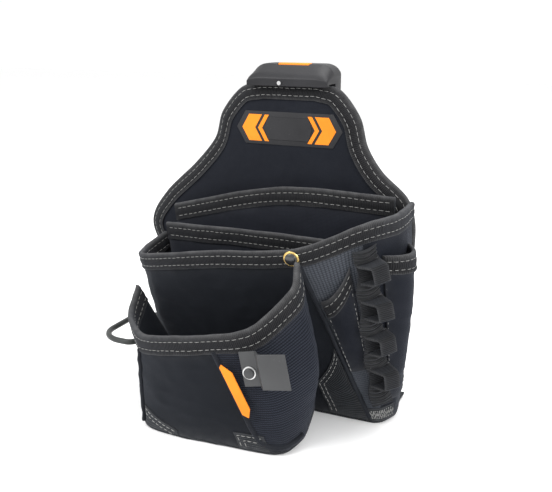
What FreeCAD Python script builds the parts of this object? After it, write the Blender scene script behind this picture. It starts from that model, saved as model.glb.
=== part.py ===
import FreeCAD, Part
import Sketcher
import math
import os

from FreeCAD import Placement, Rotation, Vector

# Electrician's tool pouch: a bell-shaped padded back panel with a standing main
# bag, a scooped front pocket, small outer pockets and loops, and a quick-release
# belt hub behind its top.  Millimetres, +Z up, -Y towards the front of the pouch.
# The origin is under the base, in line with the face of the back panel.

doc = FreeCAD.newDocument("tool_pouch")

# ---------------------------------------------------------------- driving sizes
SIZES = {
    # whole pouch
    "bag_width": 236, "bag_depth": 86, "panel_height": 286, "panel_overhang": 13,
    "panel_pad": 12, "foot_corner": 10, "fabric": 2.4, "base_sheet": 3,
    # bound rims
    "band_width": 17, "band_lap": 1.3, "panel_band": 15,
    # main bag rim heights
    "rim_left": 132, "rim_front": 156, "rim_right": 190,
    # inner pockets
    "rear_pocket_height": 196, "divider_height": 161,
    # front pocket
    "front_pocket_width": 150, "front_pocket_depth": 98, "front_rim_low": 86, "front_rim_high": 154,
    "left_stand": 6.9, "right_stand": 9.5,
    # outer pockets
    "slant_pocket_gap": 3, "pen_pocket_gap": 11, "pen_pocket_height": 158,
    # webbing tool loops
    "webbing_width": 20, "webbing_sheet": 1.6, "loop_count": 4, "loop_reach": 13, "loop_tall": 17,
    "loop_first": 0.20, "loop_last": 0.86,
    # seams and patches
    "piping_radius": 2.3, "patch_sheet": 1.1, "patch_clear": 18,
    "tab_length": 50, "tab_width": 8.5, "tab_sheet": 1.4,
    # rivets
    "rivet_radius": 5.2, "rivet_height": 2.6, "ring_radius": 6.8, "ring_height": 0.8,
    # steel tape clip
    "clip_tall": 30, "clip_foot": 14, "clip_tongue": 21, "clip_sheet": 1.6, "clip_gap": 7,
    "clip_washer_radius": 5.6, "clip_rivet_radius": 4.4,
    # badge on the back panel
    "badge_width": 104, "badge_tall": 30, "badge_drop": 26, "badge_point": 9, "badge_sheet": 1.2,
    # hammer loop
    "rod_radius": 2.8, "hammer_reach": 40, "hammer_span": 72, "hammer_height": 47, "hammer_back": 11,
    "sleeve_drop": 13,
    "sleeve_span": 24, "sleeve_wall": 2.2, "rod_play": 0.08,
    # quick-release hub
    "hood_side": 2.6, "hood_lap": 15, "hood_rise": 16, "hood_front": 7, "hood_lip": 3,
    "receiver_drop": 89, "receiver_flange": 9.6, "receiver_plate": 3.5,
    "hub_width": 58, "hub_plate": 7, "hub_tall": 92, "hub_stop_drop": 18, "hub_tip": 12, "hub_play": 0.4,
    "rail_width": 7, "lip_reach": 6, "lip_wall": 3,
    "belt_gap": 13, "belt_width": 58, "arm_wall": 5, "arm_width": 50,
    "gate_wall": 5, "pin_radius": 2, "pin_play": 0.06,
    "button_width": 30, "button_deep": 9, "button_tall": 10, "button_play": 0.35, "button_proud": 0.6,
    "button_setback": 3,
    "button_travel": 4,
    "spring_radius": 3.2, "spring_wire": 0.6,
    "stud_radius": 4.2, "stud_height": 1.8,
}

sheet = doc.addObject("Spreadsheet::Sheet", "Sizes")
for row, (name, value) in enumerate(SIZES.items(), start=1):
    sheet.set(f"A{row}", name)
    sheet.set(f"B{row}", str(value))
    sheet.setAlias(f"B{row}", name)
doc.recompute()


def size(name):
    """The value of a driving size, read from the sheet."""
    return float(sheet.get(name))


def mix(low, high, share):
    """The value a share of the way from low to high."""
    return low + (high - low) * share


# ------------------------------------------------------------- sewn fabric walls
class Wall:
    """An upright fabric wall, drawn from left to right round the outside of a bag.

    Each station is a seam or a corner: its place on the floor, its place at the
    mouth, and how far the fabric bellies out half way up.  A point is found from
    u (the station number), v (0 at the floor, 1 at the mouth) and depth (how far
    outside the inner face of the fabric).
    """

    def __init__(self, floor, mouth, belly, floor_height):
        self.floor = [Vector(x, y, floor_height) for x, y in floor]
        self.mouth = [Vector(x, y, top) for x, y, top in mouth]
        self.belly = [Vector(x, y, 0) for x, y in belly]
        self.last = len(floor) - 1

    @staticmethod
    def slope(points, i):
        """The run of the curve at station i, no longer than its nearer neighbour is far."""
        last = len(points) - 1
        if i == 0:
            return points[1] - points[0]
        if i == last:
            return points[last] - points[last - 1]
        across = points[i + 1] - points[i - 1]
        reach = min((points[i] - points[i - 1]).Length, (points[i + 1] - points[i]).Length)
        return across * (reach / across.Length) if across.Length > 0 else across

    def smooth(self, points, u):
        """A smooth curve through the points, at station u."""
        start = min(max(int(math.floor(u)), 0), len(points) - 2)
        part = u - start
        here, there = points[start], points[start + 1]
        square, cube = part ** 2, part ** 3
        return (here * (2 * cube - 3 * square + 1) + self.slope(points, start) * (cube - 2 * square + part)
                + there * (3 * square - 2 * cube) + self.slope(points, start + 1) * (cube - square))

    def face(self, u, v):
        """A point of the inner face."""
        low = self.smooth(self.floor, u)
        high = self.smooth(self.mouth, u)
        return low + (high - low) * v + self.smooth(self.belly, u) * math.sin(math.pi * min(max(v, 0), 1))

    def normal(self, u, v):
        """The direction square to the wall, out of the bag."""
        step = 0.01
        left, right = max(u - step, 0), min(u + step, self.last)
        along = self.face(right, v) - self.face(left, v)
        up = self.face(u, min(v + step, 1)) - self.face(u, max(v - step, 0))
        return along.cross(up).normalize()

    def outward(self, u, v):
        """The level direction out of the bag, so that layers share their edges' heights."""
        normal = self.normal(u, v)
        return Vector(normal.x, normal.y, 0).normalize()

    def point(self, u, v, depth):
        return self.face(u, v) + self.outward(u, v) * depth

    def height(self, u):
        """The length of the wall from floor to mouth at station u."""
        return (self.smooth(self.mouth, u) - self.smooth(self.floor, u)).Length

    def rise(self, u, drop):
        """The v that lies a length below the mouth at station u."""
        return 1 - drop / self.height(u)

    def frame(self, u, v, depth):
        """A placement whose X runs along the wall, Y up the wall and Z out of it."""
        step = 0.01
        along = self.face(min(u + step, self.last), v) - self.face(max(u - step, 0), v)
        normal = self.normal(u, v)
        rotation = Rotation(along, normal.cross(along), normal, "ZXY")
        return Placement(self.point(u, v, depth), rotation)


def block(grid_inner, grid_outer):
    """A closed solid between two smooth faces, each given as rows of points."""
    faces, borders = [], []
    for grid in (grid_inner, grid_outer):
        surface = Part.BSplineSurface()
        surface.interpolate(grid)
        u0, u1, v0, v1 = surface.bounds()
        faces.append(surface.toShape())
        borders.append([surface.uIso(u0), surface.uIso(u1), surface.vIso(v0), surface.vIso(v1)])
    for inner, outer in zip(*borders):
        faces.append(Part.makeRuledSurface(inner.toShape(), outer.toShape(), 1))
    shell = Part.makeShell(faces)
    shell.sewShape()
    solid = Part.makeSolid(shell)
    if solid.Volume < 0:
        solid.reverse()
    return solid


def patch(wall, left, right, low, high, inner, outer, across=9, up=5):
    """A piece of fabric on a wall between two stations.

    low and high give v at a station; inner and outer give the depth of its two
    faces at a share across and a share up the piece.
    """
    grids = []
    for depth in (inner, outer):
        rows = []
        for i in range(across):
            u = mix(left, right, i / (across - 1))
            row = []
            for j in range(up):
                v = mix(low(u), high(u), j / (up - 1))
                row.append(wall.point(u, v, depth(i / (across - 1), j / (up - 1))))
            rows.append(row)
        grids.append(rows)
    return block(*grids)


def level(value):
    """The same value everywhere."""
    return lambda *place: value


parts = {}


def keep(name, shape, placement=None):
    """Stores a shape made in code as a named piece."""
    feature = doc.addObject("Part::Feature", name)
    feature.Label = name
    feature.Shape = shape
    if placement is not None:
        feature.Placement = placement
    parts[name] = feature
    return feature


# ------------------------------------------------------------------ the two bags
FABRIC = size("fabric")
LAP = size("band_lap")
HALF_BAG = size("bag_width") / 2
DEPTH = size("bag_depth")
BASE_TOP = size("base_sheet")
SEAM_GAP = 0.3                # between pieces that meet edge to edge
LAYER_GAP = 0.15              # between a panel and what is sewn over it
BACK_GAP = LAP + 0.7          # keeps the side seams just in front of the panel's binding


def main_wall():
    """The main bag: narrow at the floor, flaring forward and up to the right."""
    left, front, right = size("rim_left"), size("rim_front"), size("rim_right")
    floor = [(-0.86 * HALF_BAG, -BACK_GAP), (-0.84 * HALF_BAG, -0.33 * DEPTH),
             (-0.75 * HALF_BAG, -0.53 * DEPTH), (-0.10 * HALF_BAG, -0.58 * DEPTH),
             (0.87 * HALF_BAG, -0.57 * DEPTH), (0.93 * HALF_BAG, -0.53 * DEPTH),
             (0.98 * HALF_BAG, -0.34 * DEPTH), (0.95 * HALF_BAG, -BACK_GAP)]
    mouth = [(-1.13 * HALF_BAG, -BACK_GAP, left + 4), (-1.14 * HALF_BAG, -0.45 * DEPTH, left - 4),
             (-0.94 * HALF_BAG, -0.82 * DEPTH, left + 2), (-0.32 * HALF_BAG, -DEPTH, front - 6),
             (0.37 * HALF_BAG, -1.02 * DEPTH, mix(front, right, 0.17)),
             (0.82 * HALF_BAG, -0.92 * DEPTH, mix(front, right, 0.87)),
             (0.97 * HALF_BAG, -0.54 * DEPTH, right - 1), (0.98 * HALF_BAG, -BACK_GAP, right)]
    belly = [(0, 0), (-2, 0), (-2, -3), (0, -4), (0, 0), (0, 0), (3, -1), (2, 0)]
    return Wall(floor, mouth, belly, BASE_TOP)


MAIN = main_wall()


def main_front(x, z, left):
    """The y of the main bag's front at x and z, between station left and the next."""
    spots = [MAIN.point(u, (z - BASE_TOP) / (MAIN.mouth[u].z - BASE_TOP), FABRIC) for u in (left, left + 1)]
    return mix(spots[0].y, spots[1].y, (x - spots[0].x) / (spots[1].x - spots[0].x))


def front_wall():
    """The scooped front pocket, from its left seam round to its right seam."""
    wide, deep = size("front_pocket_width"), size("front_pocket_depth")
    low, high = size("front_rim_low"), size("front_rim_high")
    seam = MAIN.floor[3].y - FABRIC - 1
    left_x, left_z = -0.80 * wide, low + 17
    right_x = 0.33 * wide
    left_y = main_front(left_x, left_z, 2) - size("left_stand")
    right_y = main_front(right_x, high, 3) - size("right_stand")
    floor = [(-0.47 * wide, seam), (-0.50 * wide, seam - 0.48 * deep), (-0.48 * wide, seam - 0.83 * deep),
             (-0.15 * wide, seam - 0.90 * deep), (0.26 * wide, seam - 0.83 * deep),
             (0.36 * wide, seam - 0.76 * deep), (0.39 * wide, seam - 0.50 * deep), (0.32 * wide, seam)]
    mouth = [(left_x, left_y, left_z), (-0.75 * wide, seam - 0.46 * deep, low + 1),
             (-0.50 * wide, seam - 0.83 * deep, low), (-0.24 * wide, seam - 0.97 * deep, low + 9),
             (-0.02 * wide, seam - 0.99 * deep, low + 16), (0.20 * wide, seam - 0.90 * deep, low + 25),
             (0.35 * wide, seam - 0.64 * deep, high - 18), (right_x, right_y, high)]
    belly = [(0, 0), (3, 0), (0, 0), (0, -3), (0, 0), (6, -2), (14, 2), (6, 0)]
    return Wall(floor, mouth, belly, BASE_TOP)


FRONT = front_wall()
SEAM_LEFT, SEAM_FRONT, SEAM_PIPING, SEAM_WEBBING, SEAM_RIGHT = 0, 2, 4, 5, 7
FLOOR = level(0)


def band_start(wall):
    return lambda u: wall.rise(u, size("band_width"))


def fabric_panel(name, wall, left, right):
    """A plain panel from the floor up to its rim's binding."""
    across = 3 + 6 * (right - left)
    top = lambda u: wall.rise(u, size("band_width") + SEAM_GAP)
    keep(name, patch(wall, left, right, FLOOR, top, level(0), level(FABRIC), across))


def rim_binding(name, wall):
    """The webbing folded over a rim, a little thicker than the fabric in it."""
    across = 3 + 6 * wall.last
    keep(name, patch(wall, 0, wall.last, band_start(wall), level(1),
                     level(-LAP), level(FABRIC + LAP), across, 3))


def base_sheet(name, wall, back):
    """The floor of a bag, out to the wall's outer face and back to a line."""
    count = 6 * wall.last
    rim = [wall.point(wall.last * i / count, 0, FABRIC) - Vector(0, 0, BASE_TOP) for i in range(count + 1)]
    curve = Part.BSplineCurve()
    curve.interpolate(rim)
    first, last = rim[0], rim[-1]
    corners = [last, Vector(last.x, back, 0), Vector(first.x, back, 0), first]
    edges = [curve.toShape()] + [Part.makeLine(a, b) for a, b in zip(corners, corners[1:])]
    keep(name, Part.Face(Part.Wire(edges)).extrude(Vector(0, 0, BASE_TOP)))


def main_bag():
    fabric_panel("main_left_gusset", MAIN, SEAM_LEFT, SEAM_FRONT)
    fabric_panel("main_front_panel", MAIN, SEAM_FRONT, SEAM_PIPING)
    fabric_panel("main_right_gusset", MAIN, SEAM_PIPING, SEAM_WEBBING)
    fabric_panel("main_side_panel", MAIN, SEAM_WEBBING, SEAM_RIGHT)
    rim_binding("main_rim_binding", MAIN)
    base_sheet("main_base", MAIN, size("panel_pad"))


def front_pocket():
    fabric_panel("front_pocket_left_gusset", FRONT, 0, 2)
    fabric_panel("front_pocket_panel", FRONT, 2, 4)
    fabric_panel("front_pocket_right_gusset", FRONT, 4, 7)
    rim_binding("front_pocket_rim_binding", FRONT)
    base_sheet("front_pocket_base", FRONT, FRONT.floor[0].y + 0.2)


def cord_between(name, ends):
    """A straight piped seam between two points."""
    start, end = ends
    run = end - start
    keep(name, Part.makeCylinder(size("piping_radius"), run.Length, start, run))


def seam_ends(wall, u, low, high):
    proud = FABRIC + size("piping_radius") + 0.4
    return wall.point(u, low, proud), wall.point(u, high, proud)


def piped_seams():
    main_top = MAIN.rise(SEAM_PIPING, size("band_width") + 3)
    cord_between("main_gusset_piping", seam_ends(MAIN, SEAM_PIPING, 0.04, main_top))
    cord_between("front_pocket_left_piping", seam_ends(FRONT, 2, 0.16, FRONT.rise(2, size("band_width") + 2)))
    cord_between("front_pocket_seam_piping", seam_ends(FRONT, 4, 0.2, FRONT.rise(4, size("band_width") + 2)))


def beside_front_pocket():
    """The main wall's station just to the right of the front pocket's seam."""
    target = FRONT.floor[-1].x + size("patch_clear")
    left, right = 3, 4
    for _ in range(30):
        middle = (left + right) / 2
        if MAIN.smooth(MAIN.floor, middle).x < target:
            left = middle
        else:
            right = middle
    return right


def corner_patches():
    """Hard-wearing patches sewn over the bottom corners."""
    skin = size("patch_sheet")

    def sewn_on(name, wall, left, right, high):
        keep(name, patch(wall, left, right, FLOOR, high, level(FABRIC + LAYER_GAP),
                         level(FABRIC + LAYER_GAP + skin), 17))

    start, end = beside_front_pocket(), 3.92
    sewn_on("main_corner_patch", MAIN, start, end, lambda u: 0.20 + 0.24 * (u - start) / (end - start))
    sewn_on("main_corner_tape", MAIN, 4.15, 5.75, level(0.07))
    sewn_on("front_pocket_left_patch", FRONT, 2.10, 2.75, lambda u: 0.22 - 0.17 * (u - 2.10) / 0.65)
    sewn_on("front_pocket_right_patch", FRONT, 3.60, 4.35, level(0.14))


# -------------------------------------------------------------- inner pockets
def inner_wall(bottom_y, left_y, right_y, top_z, drop):
    """A nearly flat panel across the inside of the main bag, lower at its left end."""
    floor = [(-0.80 * HALF_BAG, bottom_y), (0, bottom_y - 2), (0.90 * HALF_BAG, bottom_y)]
    mouth = [(-0.95 * HALF_BAG, left_y, top_z - drop), (0, mix(left_y, right_y, 0.5) - 3, top_z),
             (0.90 * HALF_BAG, right_y, top_z)]
    return Wall(floor, mouth, [(0, 0)] * 3, BASE_TOP)


REAR = inner_wall(-0.12 * DEPTH, -0.18 * DEPTH, -0.18 * DEPTH, size("rear_pocket_height"), 26)
DIVIDER = inner_wall(-0.31 * DEPTH, -0.36 * DEPTH, -0.60 * DEPTH, size("divider_height"), 6)


def inner_pockets():
    for name, wall in (("rear_pocket", REAR), ("divider_pocket", DIVIDER)):
        fabric_panel(name + "_panel", wall, 0, 2)
        rim_binding(name + "_rim_binding", wall)


# -------------------------------------------------------------- outer pockets
def outer_pocket(name, left, right, low, high, gap):
    """A pocket on the outside of the main wall: panel and bound rim."""
    def band_low(u):
        return high(u) - size("band_width") / MAIN.height(u)

    def split_depth(base, top_share):
        return lambda across, up: base + gap * math.sin(math.pi * across) * mix(*top_share, up)

    border = 0.88                # the share of the mouth's gap where the panel meets its binding
    keep(name + "_panel", patch(MAIN, left, right, low, band_low,
                                split_depth(FABRIC + LAYER_GAP, (0, border)),
                                split_depth(2 * FABRIC, (0, border)), 17))
    keep(name + "_binding", patch(MAIN, left, right, band_low, high,
                                  split_depth(FABRIC + LAYER_GAP, (border, 1)),
                                  split_depth(2 * FABRIC + LAP, (border, 1)), 17, 3))


def slant_pocket():
    left, right = SEAM_PIPING + 0.10, SEAM_WEBBING - 0.30

    def mouth(u):
        share = (u - left) / (right - left)
        return 0.71 + 0.12 * share ** 2

    outer_pocket("slant_pocket", left, right, level(0.30), mouth, size("slant_pocket_gap"))


def pen_pocket():
    left, right = SEAM_WEBBING + 0.45, SEAM_RIGHT - 0.42

    def mouth(u):
        return (size("pen_pocket_height") - BASE_TOP) / (MAIN.smooth(MAIN.mouth, u).z - BASE_TOP)

    outer_pocket("pen_pocket", left, right, level(0.10), mouth, size("pen_pocket_gap"))


# ---------------------------------------------------------- webbing tool loops
def upright_strip(wall, u, low, high, half, inner, outer, up=7):
    """A flat strip of even width standing on a wall, along one station."""
    grids = []
    for depth in (inner, outer):
        rows = []
        for side in (-half, half):
            row = []
            for j in range(up):
                place = wall.frame(u, mix(low, high, j / (up - 1)), depth)
                row.append(place.multVec(Vector(side, 0, 0)))
            rows.append(row)
        grids.append([rows[0], [(a + b) * 0.5 for a, b in zip(*rows)], rows[1]])
    return block(*grids)


def tool_loops():
    """Webbing sewn down the right front edge, with arches that are open at both sides."""
    half = 0.5 * size("webbing_width")
    skin = size("webbing_sheet")
    seat = 2 * FABRIC + 0.2          # clear of the slant pocket's edge
    u = SEAM_WEBBING + 0.05
    low, high = 0.10, MAIN.rise(u, size("band_width") + 2)
    keep("tool_loop_webbing", upright_strip(MAIN, u, low, high, half, seat, seat + skin))
    count = int(size("loop_count"))
    reach, tall = size("loop_reach"), size("loop_tall")
    loops = []
    for i in range(count):
        middle = mix(low, high, mix(size("loop_first"), size("loop_last"), i / max(1, count - 1)))
        outline = Part.makeBox(2 * half, tall, reach, Vector(-half, -tall / 2, 0))
        corner = Vector(-half - 1, skin - tall / 2, -1)
        hole = Part.makeBox(2 * half + 2, tall - 2 * skin, reach - skin, corner)
        loop = outline.cut(hole)
        loop.Placement = MAIN.frame(u, middle, seat + skin + SEAM_GAP)
        loops.append(loop)
    keep("tool_loops", Part.makeCompound(loops))


# ------------------------------------------------------------------ back panel
# each place: its share of half the panel's width, and its share of the panel's height
LEFT_SIDE = [(0.80, 0), (0.87, 0.08), (1.08, 0.38), (1.17, 0.50), (1.03, 0.61), (0.77, 0.72),
             (0.60, 0.81), (0.535, 0.90), (0.38, 0.98), (0.20, 1)]
RIGHT_SIDE = [(0.80, 0), (0.87, 0.08), (0.90, 0.40), (0.91, 0.57), (0.85, 0.66), (0.67, 0.735),
              (0.56, 0.81), (0.50, 0.90), (0.36, 0.98), (0.20, 1)]


def bell_side(sign, half, shares, inset):
    """One side of the back panel from the foot up, drawn in square to itself."""
    top, foot = size("panel_height"), size("base_sheet")
    points = [(sign * share * half, mix(foot, top, rise)) for share, rise in shares]
    drawn = []
    for i, (x, z) in enumerate(points):
        x0, z0 = points[max(i - 1, 0)]
        x1, z1 = points[min(i + 1, len(points) - 1)]
        run = math.hypot(x1 - x0, z1 - z0)
        drawn.append((x - sign * inset * (z1 - z0) / run, z + sign * inset * (x1 - x0) / run))
    drawn[0] = (drawn[1][0] + sign * (inset - size("foot_corner")), foot + inset)
    drawn[-1] = (drawn[-1][0], top - inset)
    return drawn


def bell_wire(inset, height):
    """The outline of the back panel, drawn in by an inset."""
    half = HALF_BAG + size("panel_overhang")
    left = bell_side(-1, half, LEFT_SIDE, inset)
    right = bell_side(1, half, RIGHT_SIDE, inset)
    edges = []
    for side in (left, right[::-1]):
        curve = Part.BSplineCurve()
        curve.interpolate([Vector(x, height, z) for x, z in side])
        edges.append(curve.toShape())
    ends = [Vector(x, height, z) for x, z in (left[-1], right[-1], right[0], left[0])]
    top_line, foot_line = Part.makeLine(ends[0], ends[1]), Part.makeLine(ends[2], ends[3])
    return Part.Wire([edges[0], top_line, edges[1], foot_line])


def bell_plate(inset, front, back):
    """The back panel's outline as a plate between two depths."""
    return Part.Face(bell_wire(inset, front)).extrude(Vector(0, back - front, 0))


def back_panel():
    pad = size("panel_pad")
    band = size("panel_band")
    keep("back_panel", bell_plate(band, 0, pad))
    keep("back_panel_binding", bell_plate(0, -LAP, pad + LAP).cut(bell_plate(band, -LAP - 1, pad + LAP + 1)))


def badge():
    """A plain six-sided patch sewn high on the face of the back panel."""
    body = new_body("badge_patch")
    high = "(Sizes.panel_height - Sizes.badge_drop)"
    low, middle = high + " - Sizes.badge_tall", high + " - Sizes.badge_tall / 2"
    end = "(Sizes.badge_width / 2)"
    side = "(Sizes.badge_width / 2 - Sizes.badge_point)"
    outline = polygon(body, "XZ_Plane", "badge_outline", [
        ("-" + side, low), (side, low), (end, middle),
        (side, high), ("-" + side, high), ("-" + end, middle)], "0.1")
    pad(body, outline, "Sizes.badge_sheet")
    doc.recompute()


# ------------------------------------------------------------- solid body tools
def plane_of(body, role):
    return next(item for item in body.Origin.OriginFeatures if item.Role == role)


def polygon(body, role, name, corners, offset="0"):
    """A closed outline on one of the body's planes; each corner is two formulas."""
    sketch = body.newObject("Sketcher::SketchObject", name)
    sketch.AttachmentSupport = [(plane_of(body, role), "")]
    sketch.MapMode = "FlatFace"
    sketch.setExpression("AttachmentOffset.Base.z", offset)
    values = [(formula_value(x), formula_value(y)) for x, y in corners]
    count = len(corners)
    for i, (x, y) in enumerate(values):
        nx, ny = values[(i + 1) % count]
        sketch.addGeometry(Part.LineSegment(Vector(x, y, 0), Vector(nx, ny, 0)))
    for i in range(count):
        sketch.addConstraint(Sketcher.Constraint("Coincident", i, 2, (i + 1) % count, 1))
    for i, (x, y) in enumerate(corners):
        for kind, formula, value in (("DistanceX", x, values[i][0]), ("DistanceY", y, values[i][1])):
            number = sketch.addConstraint(Sketcher.Constraint(kind, -1, 1, i, 1, value))
            sketch.setExpression(f"Constraints[{number}]", formula)
    return sketch


def formula_value(formula):
    """The value of a formula in the sheet's sizes."""
    return float(sheet.evalExpression(formula.replace("Sizes.", "")))


def pad(body, sketch, length, both_sides=False):
    feature = body.newObject("PartDesign::Pad", "Pad_" + sketch.Name)
    feature.Profile = sketch
    feature.setExpression("Length", length)
    feature.Midplane = both_sides
    return feature


def pocket(body, sketch, length, both_sides=False, turned=False):
    feature = body.newObject("PartDesign::Pocket", "Pocket_" + sketch.Name)
    feature.Profile = sketch
    feature.setExpression("Length", length)
    feature.Midplane = both_sides
    feature.Reversed = turned
    return feature


def new_body(name):
    body = doc.addObject("PartDesign::Body", name)
    body.Label = name
    parts[name] = body
    return body


def rectangle(x0, x1, y0, y1):
    return [(x0, y0), (x1, y0), (x1, y1), (x0, y1)]


def cylinder(name, radius, length, placement):
    """A round solid with its sizes bound to the sheet, along the placement's Z."""
    piece = doc.addObject("Part::Cylinder", name)
    piece.Label = name
    piece.setExpression("Radius", radius)
    piece.setExpression("Height", length)
    piece.Placement = placement
    parts[name] = piece
    return piece


# ---------------------------------------------------------------- quick-release hub
BACK = "Sizes.panel_pad"                                           # rear face of the panel
PLATE_BACK = BACK + " + Sizes.band_lap + Sizes.receiver_plate"     # rear face of the receiver's plate
HUB_FRONT = PLATE_BACK + " + Sizes.hub_play"
HUB_BACK = HUB_FRONT + " + Sizes.hub_plate"
LIP_FRONT = HUB_BACK + " + Sizes.hub_play"
LIP_BACK = LIP_FRONT + " + Sizes.lip_wall"
NECK_BACK = LIP_BACK + " + 2 * Sizes.hub_play"
ARM_FRONT = NECK_BACK + " + Sizes.arm_wall + Sizes.belt_gap"
ARM_BACK = ARM_FRONT + " + Sizes.arm_wall"
RAIL_IN = "Sizes.hub_width / 2 + Sizes.hub_play"
RAIL_OUT = RAIL_IN + " + Sizes.rail_width"
RECEIVER_HALF = "(" + RAIL_OUT + " + Sizes.receiver_flange)"
HOOD_HALF = "(" + RAIL_OUT + " + Sizes.hood_side)"
HOOD_BOTTOM = "(Sizes.panel_height - Sizes.hood_lap)"
HOOD_TOP = "(Sizes.panel_height + Sizes.hood_rise)"
LIP_BOTTOM = "(Sizes.panel_height - Sizes.hood_lip)"
RECEIVER_BOTTOM = "(" + HOOD_BOTTOM + " - Sizes.receiver_drop)"
HUB_STOP = "(Sizes.panel_height - Sizes.hub_stop_drop)"
HUB_BOTTOM = "(" + HUB_STOP + " - Sizes.hub_tall)"
HOOK_TOP = "(" + HUB_STOP + " - Sizes.hub_tip)"
BELT_TOP = "(" + HOOK_TOP + " - Sizes.arm_wall)"
BELT_BOTTOM = "(" + BELT_TOP + " - Sizes.belt_width)"
BUTTON_TOP = "(" + HOOD_TOP + " + Sizes.button_proud)"
BUTTON_FOOT = "(" + BUTTON_TOP + " - Sizes.button_tall + 3)"
WELL_FLOOR = "(" + HOOD_TOP + " - Sizes.button_tall - Sizes.button_travel)"
BUTTON_FRONT = "(Sizes.panel_pad - Sizes.button_setback)"


def receiver():
    """The moulding riveted to the back panel: plate, two rails and the hood."""
    body = new_body("hub_receiver")
    plate = polygon(body, "XZ_Plane", "receiver_plate",
                    rectangle("-" + RECEIVER_HALF, RECEIVER_HALF, RECEIVER_BOTTOM, HOOD_BOTTOM + " + 4"),
                    f"-({PLATE_BACK})")
    pad(body, plate, "Sizes.receiver_plate")
    lip_edge = RAIL_IN + " - Sizes.lip_reach"
    rail_front = PLATE_BACK + " - 1"
    section = [(RAIL_IN, rail_front), (RAIL_OUT, rail_front), (RAIL_OUT, LIP_BACK),
               (lip_edge, LIP_BACK), (lip_edge, LIP_FRONT), (RAIL_IN, LIP_FRONT)]
    for side, sign in (("left", "-"), ("right", "")):
        rail = polygon(body, "XY_Plane", "receiver_rail_" + side,
                       [(f"{sign}({x})", y) for x, y in section], RECEIVER_BOTTOM)
        pad(body, rail, f"{HOOD_BOTTOM} + 4 - {RECEIVER_BOTTOM}")
    hood = polygon(body, "YZ_Plane", "hood_profile", [
        ("-Sizes.hood_front", HOOD_BOTTOM), ("-Sizes.hood_front", HOOD_TOP + " - 12"),
        ("-Sizes.hood_front + 3.5", HOOD_TOP + " - 8"), ("Sizes.panel_pad - 2", HOOD_TOP),
        (LIP_BACK, HOOD_TOP), (LIP_BACK, HOOD_BOTTOM)])
    pad(body, hood, "2 * " + HOOD_HALF, True)
    tongue = polygon(body, "YZ_Plane", "hood_tongue_space",
                     rectangle("-Sizes.band_lap - 0.3", "Sizes.panel_pad + Sizes.band_lap",
                               HOOD_BOTTOM + " - 1", "Sizes.panel_height + 0.6"))
    pocket(body, tongue, f"2 * {HOOD_HALF} + 2", True)
    lip = polygon(body, "YZ_Plane", "hood_lip_space",
                  rectangle("-Sizes.hood_front - 1", "0", HOOD_BOTTOM + " - 1", LIP_BOTTOM))
    pocket(body, lip, f"2 * {HOOD_HALF} + 2", True)
    channel = polygon(body, "XZ_Plane", "hood_hub_space",
                      rectangle(f"-({RAIL_IN})", RAIL_IN,
                                HOOD_BOTTOM + " - 1", HUB_STOP + " + Sizes.hub_tip + 1"),
                      f"-({LIP_BACK} + 1)")
    pocket(body, channel, f"{LIP_BACK} + 1 - ({PLATE_BACK})", False, True)
    half_well = "(Sizes.button_width / 2 + Sizes.button_play)"
    well = polygon(body, "XY_Plane", "button_well",
                   rectangle("-" + half_well, half_well, BUTTON_FRONT + " - Sizes.button_play",
                             BUTTON_FRONT + " + Sizes.button_deep + Sizes.button_play"), HOOD_TOP)
    pocket(body, well, "Sizes.button_tall + Sizes.button_travel")
    doc.recompute()
    return body


def hub():
    """The belt hub: a plate that slides in the rails, and a hook over the belt."""
    body = new_body("belt_hub")
    plate = polygon(body, "XZ_Plane", "hub_plate",
                    rectangle("-Sizes.hub_width / 2", "Sizes.hub_width / 2",
                              HUB_BOTTOM, HUB_STOP + " + Sizes.hub_tip"),
                    f"-({HUB_BACK})")
    pad(body, plate, "Sizes.hub_plate")
    neck = polygon(body, "XZ_Plane", "hub_neck",
                   rectangle("-Sizes.arm_width / 2 + 5", "Sizes.arm_width / 2 - 5",
                             HUB_BOTTOM, HUB_STOP + " - 4"),
                   f"-({NECK_BACK} + Sizes.arm_wall)")
    pad(body, neck, f"{NECK_BACK} + Sizes.arm_wall - ({HUB_BACK}) + 1")
    hook = polygon(body, "YZ_Plane", "hub_hook", [
        (NECK_BACK, BELT_BOTTOM + " - 6"), (NECK_BACK + " + Sizes.arm_wall", BELT_BOTTOM + " - 6"),
        (NECK_BACK + " + Sizes.arm_wall", BELT_TOP), (ARM_FRONT, BELT_TOP), (ARM_FRONT, BELT_BOTTOM),
        (ARM_BACK, BELT_BOTTOM), (ARM_BACK, HOOK_TOP), (NECK_BACK, HOOK_TOP)])
    pad(body, hook, "Sizes.arm_width", True)
    doc.recompute()
    return body


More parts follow.
